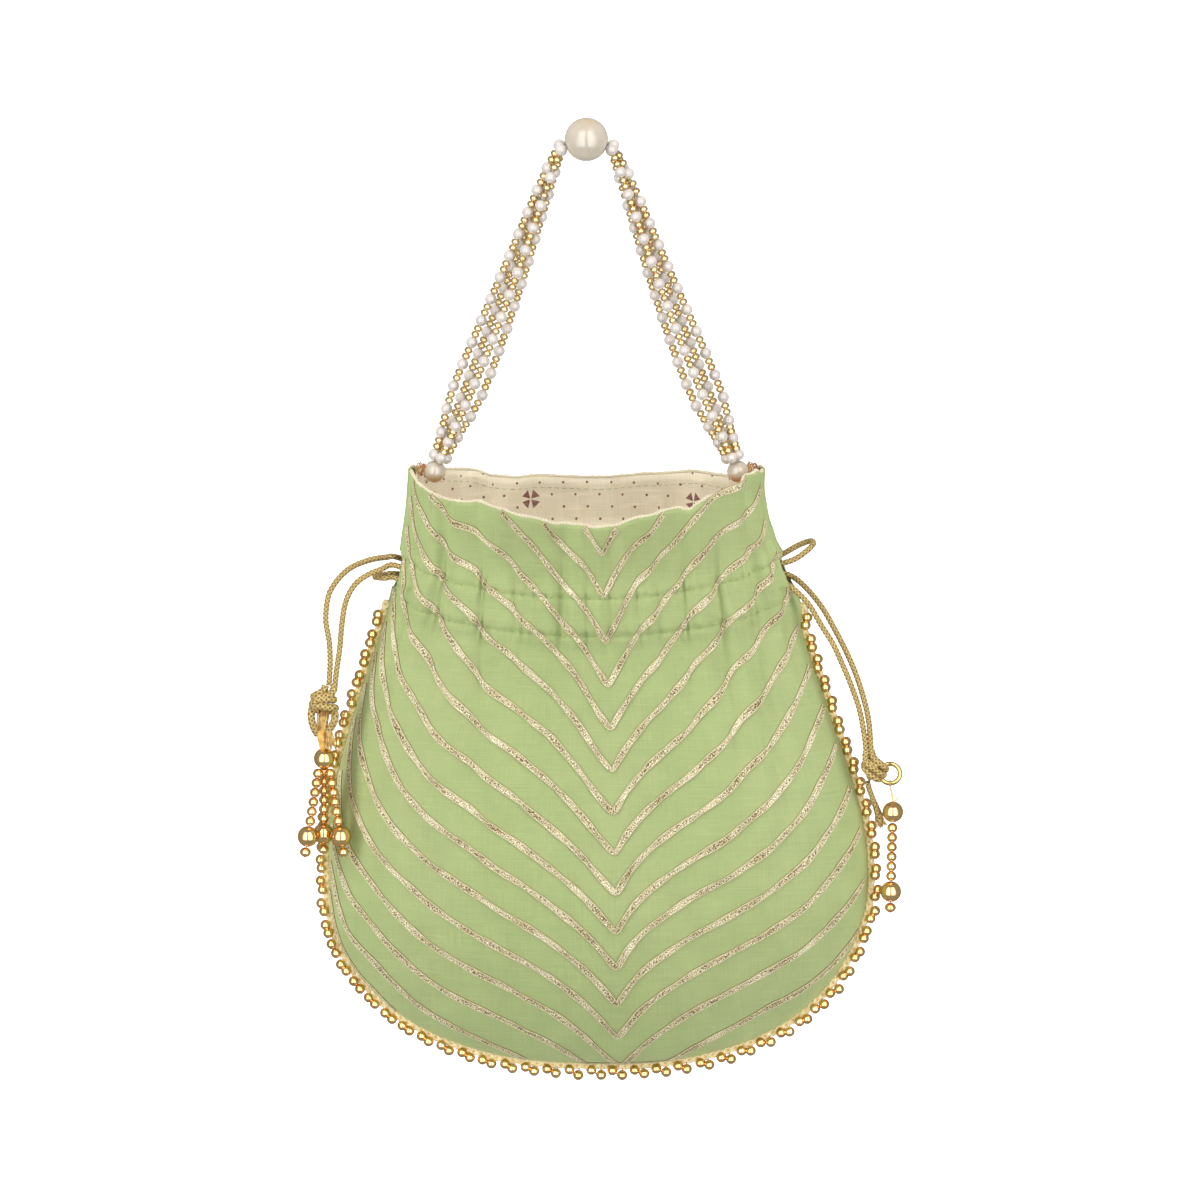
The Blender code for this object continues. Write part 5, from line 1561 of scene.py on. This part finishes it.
def makeCordFinish(name, p, yarns, turns, fibres):
    made, tree, shader = startMaterial(name, Specular_IOR_Level=0.6)
    at = clothPlaces(tree)
    yarn = useGroup(tree, yarnGroup, Vector=at, Yarns=yarns, Turns=turns, Fibres=fibres)
    # the dark colour in the gaps between the yarns and the main colour on their crests are painted shade
    light = calc(tree, "MULTIPLY_ADD", yarn["Shade"], 1.5, 0.78, clamp=True)
    base = mix(tree, light, p["dark"], p["color"])
    toned = toneDrift(tree, base, solidPlaces(tree), 420.0, 0.55)
    plug(tree, shader, Base_Color=toned["Color"], Metallic=calc(tree, "MULTIPLY_ADD", light, 0.2, p["metal"] - 0.1),
         Roughness=calc(tree, "MULTIPLY_ADD", toned["Mask"], 0.2, p["roughness"] - 0.1),
         Normal=bumped(tree, yarn["Height"], 0.0003, 0.8))
    return made


def makeBeadFinish(name, p):
    # plated beads: brighter and duller patches, small dents, and the plating thinner here and there
    made, tree, shader = startMaterial(name, Coat_Roughness=0.06, Specular_IOR_Level=0.5,
                                       Specular_Tint=tone(224, 180, 132))
    at = solidPlaces(tree)
    ball = node(tree, "ShaderNodeAttribute", attribute_name="tone").outputs["Fac"]
    base = mix(tree, ball, p["first"], p["second"])
    toned = toneDrift(tree, base, at, 300.0, 0.22)
    worn = past(tree, noise(tree, at, 900.0, 3.0), 0.62, 5.0)
    plug(tree, shader, Base_Color=mix(tree, worn, toned["Color"], p["worn"]),
         Metallic=calc(tree, "MULTIPLY_ADD", worn, -0.2, 1.0),
         Roughness=calc(tree, "ADD", calc(tree, "MULTIPLY_ADD", toned["Mask"], 0.08, p["roughness"] - 0.04),
                        calc(tree, "MULTIPLY", worn, 0.15)),
         Coat_Weight=calc(tree, "MULTIPLY_ADD", toned["Mask"], 0.1, 0.03),
         Normal=bumped(tree, noise(tree, at, 520.0), 0.00006, 0.5))
    return made


def makePearlFinish(name, p, scale):
    # nacre: a faint warm and cool drift under a clear coat
    made, tree, shader = startMaterial(name, Coat_Roughness=0.08, Subsurface_Weight=0.12, Subsurface_Scale=0.002,
                                       Sheen_Weight=0.1, Specular_IOR_Level=0.7, Coat_IOR=1.8)
    at = solidPlaces(tree)
    drift = noise(tree, at, scale, 2.0)
    base = mix(tree, drift, p["color"], p["second"])
    height = node(tree, "ShaderNodeSeparateXYZ", {0: at}).outputs[2]
    # below footZ the colour turns tan: a painted reflection of the gold under the pearl
    foot = past(tree, p["footZ"], height, 420.0)
    cap = past(tree, height, p["capZ"], 300.0)
    base = mix(tree, cap, mix(tree, foot, base, p["foot"]), p["cap"])
    ball = node(tree, "ShaderNodeAttribute", attribute_name="tone").outputs["Fac"]
    toned = toneDrift(tree, base, at, scale * 2.0, 0.12, Shade=calc(tree, "MULTIPLY_ADD", ball, 0.10, -0.06))
    plug(tree, shader, Base_Color=toned["Color"],
         Roughness=calc(tree, "MULTIPLY_ADD", toned["Mask"], 0.12, p["roughness"] - 0.04),
         Coat_Weight=calc(tree, "MULTIPLY_ADD", drift, 0.3, 0.5),
         Normal=bumped(tree, noise(tree, at, scale * 5.0), 0.00005, 0.3))
    return made


def makeThreadFinish(name, p):
    made, tree, shader = startMaterial(name, Sheen_Weight=0.2, Sheen_Roughness=0.4)
    at = solidPlaces(tree)
    mixed = mix(tree, past(tree, noise(tree, at, 500.0), 0.40, 5.0), p["dark"], p["color"])
    toned = toneDrift(tree, mixed, at, 1500.0, 0.4)
    plug(tree, shader, Base_Color=toned["Color"],
         Roughness=calc(tree, "MULTIPLY_ADD", toned["Mask"], 0.2, p["roughness"] - 0.1),
         Normal=bumped(tree, noise(tree, at, 2400.0), 0.0001, 0.5))
    return made


silkFinish = makeSilk(finishes["silk"])
cottonFinish = makeCotton(finishes["cotton"])
edgeFinish = makeEdge(finishes["edge"])
stripFinish = makeStripFinish(finishes["strip"])
cordFinish = makeCordFinish("gold braided cord", finishes["cord"], 4.0, 10.0 / 7.2, 5.0)
braidFinish = makeCordFinish("gold edge braid", finishes["braid"], 2.0, 10.0 / 6.8, 4.0)
yarnFinish = makeThreadFinish("gold yarn", finishes["yarn"])
satinFinish = makeThreadFinish("satin gold binding", finishes["satin"])
beadFinish = makeBeadFinish("gold plated bead", finishes["bead"])
ringFinish = makeBeadFinish("gold plated ring", finishes["ring"])
seedFinish = makeBeadFinish("brass seed bead", finishes["seed"])
pearlFinish = makePearlFinish("large pearl", finishes["pearl"], 160.0)
strandFinish = makePearlFinish("strand pearl", finishes["strand"], 380.0)
stitchFinish = makeThreadFinish("gold and red thread", finishes["stitch"])
paleThread = makeThreadFinish("pale thread", finishes["pale"])
greenThread = makeThreadFinish("green thread", finishes["green"])

dressed = {
    silkFinish: ["front_silk", "back_silk", "left_side_seam", "right_side_seam"],
    cottonFinish: ["front_cotton", "back_cotton"],
    edgeFinish: ["front_mouth_edge", "back_mouth_edge"],
    stripFinish: ["front_gold_strips", "back_gold_strips"],
    cordFinish: ["left_drawstring_cord", "right_drawstring_cord", "left_knot_turns", "right_knot_turns",
                 "right_cord_cut_end"],
    braidFinish: ["gold_edge_braid"],
    yarnFinish: ["right_cord_frayed_yarns", "left_cord_loose_yarns", "left_knot_core"],
    satinFinish: ["left_cord_bound_end"],
    seedFinish: ["left_strand_seeds", "right_strand_seeds"],
    ringFinish: ["jump_ring", "tassel_wire"],
    pearlFinish: ["top_pearl_ball", "left_base_pearl_ball", "right_base_pearl_ball"],
    strandFinish: ["left_strand_pearls", "right_strand_pearls"],
    stitchFinish: ["left_corner_stitches", "right_corner_stitches", "fringe_threads"],
    paleThread: ["left_loose_thread_ends", "back_hem_stitches", "left_strand_threads", "right_strand_threads"],
    greenThread: ["front_channel_stitches", "back_channel_stitches"],
}
for finish, names in dressed.items():
    for pieceName in names:
        bpy.data.objects[pieceName].data.materials.append(finish)
for item in bpy.data.objects:
    if item.type == "MESH" and item.name not in frame["nodes"] and not item.data.materials:
        item.data.materials.append(yarnFinish if item.name.endswith("_thread") else beadFinish)
print("materials made")

# what is cloth, and how large it was cut
for item, width, length, area in clothPieces:
    print(item.name, "was cut", round(width * 1000), "by", round(length * 1000), "mm")

# studio: a large pale floor, two long soft lights beside the bag, one above, one before, one behind, a pale surround
studio = {
    "floorBelow": 0.62,
    "floorSize": 60.0,
    "floor": (0.70, 0.70, 0.70, 1.0),
    "floorGlow": 1.0,
    "surround": 0.36,
    # in reflections: two tall soft boxes either side of the camera with a dark gap between them, a dull surround and
    # a dark back; directions are radians from straight ahead, and heights from -1 to 1
    "shine": 0.26,
    "boxes": 3.4,
    "gap": 0.06,
    "back": 0.05,
    "boxFrom": math.radians(6.0),
    "boxTo": math.radians(66.0),
    "backFrom": math.radians(98.0),
    "boxLow": -0.52,
    "boxHigh": 0.86,
    "leftLight": 9.4,
    "rightLight": 8.46,
    "topLight": 13.0,
    "frontLight": 3.4,
    "backLight": 7.0,
}


def makeLight(name, place, aim, size, height, power):
    data = bpy.data.lights.new(name, "AREA")
    data.shape = "RECTANGLE"
    data.size, data.size_y, data.energy = size, height, power
    item = bpy.data.objects.new(name, data)
    item.location = place
    item.rotation_euler = (Vector(place) - Vector(aim)).to_track_quat("Z", "Y").to_euler()
    item.visible_glossy = False
    bpy.context.scene.collection.objects.link(item)


middle = (0.0, 0.0, -0.25)
makeLight("left light", (-1.05, -0.50, -0.05), middle, 0.35, 1.5, studio["leftLight"])
makeLight("right light", (1.05, -0.62, -0.05), middle, 0.45, 1.5, studio["rightLight"])
makeLight("top light", (0.0, -0.2, 1.2), middle, 1.4, 1.0, studio["topLight"])
makeLight("front light", (0.3, -1.9, 0.5), middle, 1.2, 0.8, studio["frontLight"])
makeLight("back light", (-0.3, 1.9, 0.4), middle, 1.4, 1.0, studio["backLight"])

floorMesh = bpy.data.meshes.new("floor")
half, level = studio["floorSize"] / 2, -studio["floorBelow"]
floorMesh.from_pydata([(-half, -half, level), (half, -half, level), (half, half, level), (-half, half, level)],
                      [], [(0, 1, 2, 3)])
floor = bpy.data.objects.new("floor", floorMesh)
bpy.context.scene.collection.objects.link(floor)
floor.visible_glossy = False
floorFinish, floorTree, floorShader = startMaterial("pale floor", Roughness=0.9,
                                                    Emission_Strength=studio["floorGlow"])
floorDrift = toneDrift(floorTree, studio["floor"], solidPlaces(floorTree), 2.0, 0.02)
seen = node(floorTree, "ShaderNodeLightPath").outputs["Is Camera Ray"]
plug(floorTree, floorShader, Base_Color=floorDrift["Color"],
     Emission_Color=mix(floorTree, seen, (0.0, 0.0, 0.0, 1.0), (1.0, 1.0, 1.0, 1.0)))
floorMesh.materials.append(floorFinish)

world = bpy.data.worlds.new("surround")
world.use_nodes = True
world.node_tree.nodes["Background"].inputs["Color"].default_value = (1.0, 1.0, 1.0, 1.0)
worldTree = world.node_tree
rays = node(worldTree, "ShaderNodeLightPath").outputs
outward = node(worldTree, "ShaderNodeTexCoord").outputs["Generated"]
ways = node(worldTree, "ShaderNodeSeparateXYZ", {0: outward}).outputs


def between(value, low, high, soft, softer=0.0):
    # 1 between two values and 0 outside them, with soft edges, the far one softer where asked
    enter = calc(worldTree, "DIVIDE", calc(worldTree, "SUBTRACT", value, low), soft, clamp=True)
    leave = calc(worldTree, "DIVIDE", calc(worldTree, "SUBTRACT", high, value), softer or soft, clamp=True)
    return calc(worldTree, "MULTIPLY", enter, leave)


ahead = calc(worldTree, "MULTIPLY", ways[1], -1.0)
fromFront = calc(worldTree, "ABSOLUTE", calc(worldTree, "ARCTAN2", ways[0], ahead))
high = between(ways[2], studio["boxLow"], studio["boxHigh"], 0.08)
boxes = calc(worldTree, "MULTIPLY", between(fromFront, studio["boxFrom"], studio["boxTo"], 0.05, 0.6), high)
gap = calc(worldTree, "MULTIPLY", between(fromFront, -1.0, studio["boxFrom"] + 0.03, 0.05), high)
behind = between(fromFront, studio["backFrom"], 9.0, 0.4)
glow = calc(worldTree, "MULTIPLY_ADD", boxes, studio["boxes"] - studio["shine"], studio["shine"])
glow = calc(worldTree, "MULTIPLY_ADD", gap, studio["gap"] - studio["shine"], glow)
glow = calc(worldTree, "MULTIPLY_ADD", behind, studio["back"] - studio["shine"], glow)
shine = calc(worldTree, "MULTIPLY", rays["Is Glossy Ray"], glow)
bright = calc(worldTree, "MAXIMUM", rays["Is Camera Ray"], calc(worldTree, "MAXIMUM", shine, studio["surround"]))
worldTree.links.new(bright, worldTree.nodes["Background"].inputs["Strength"])
bpy.context.scene.world = world
bpy.context.scene.view_settings.view_transform = "Standard"
print("studio set")
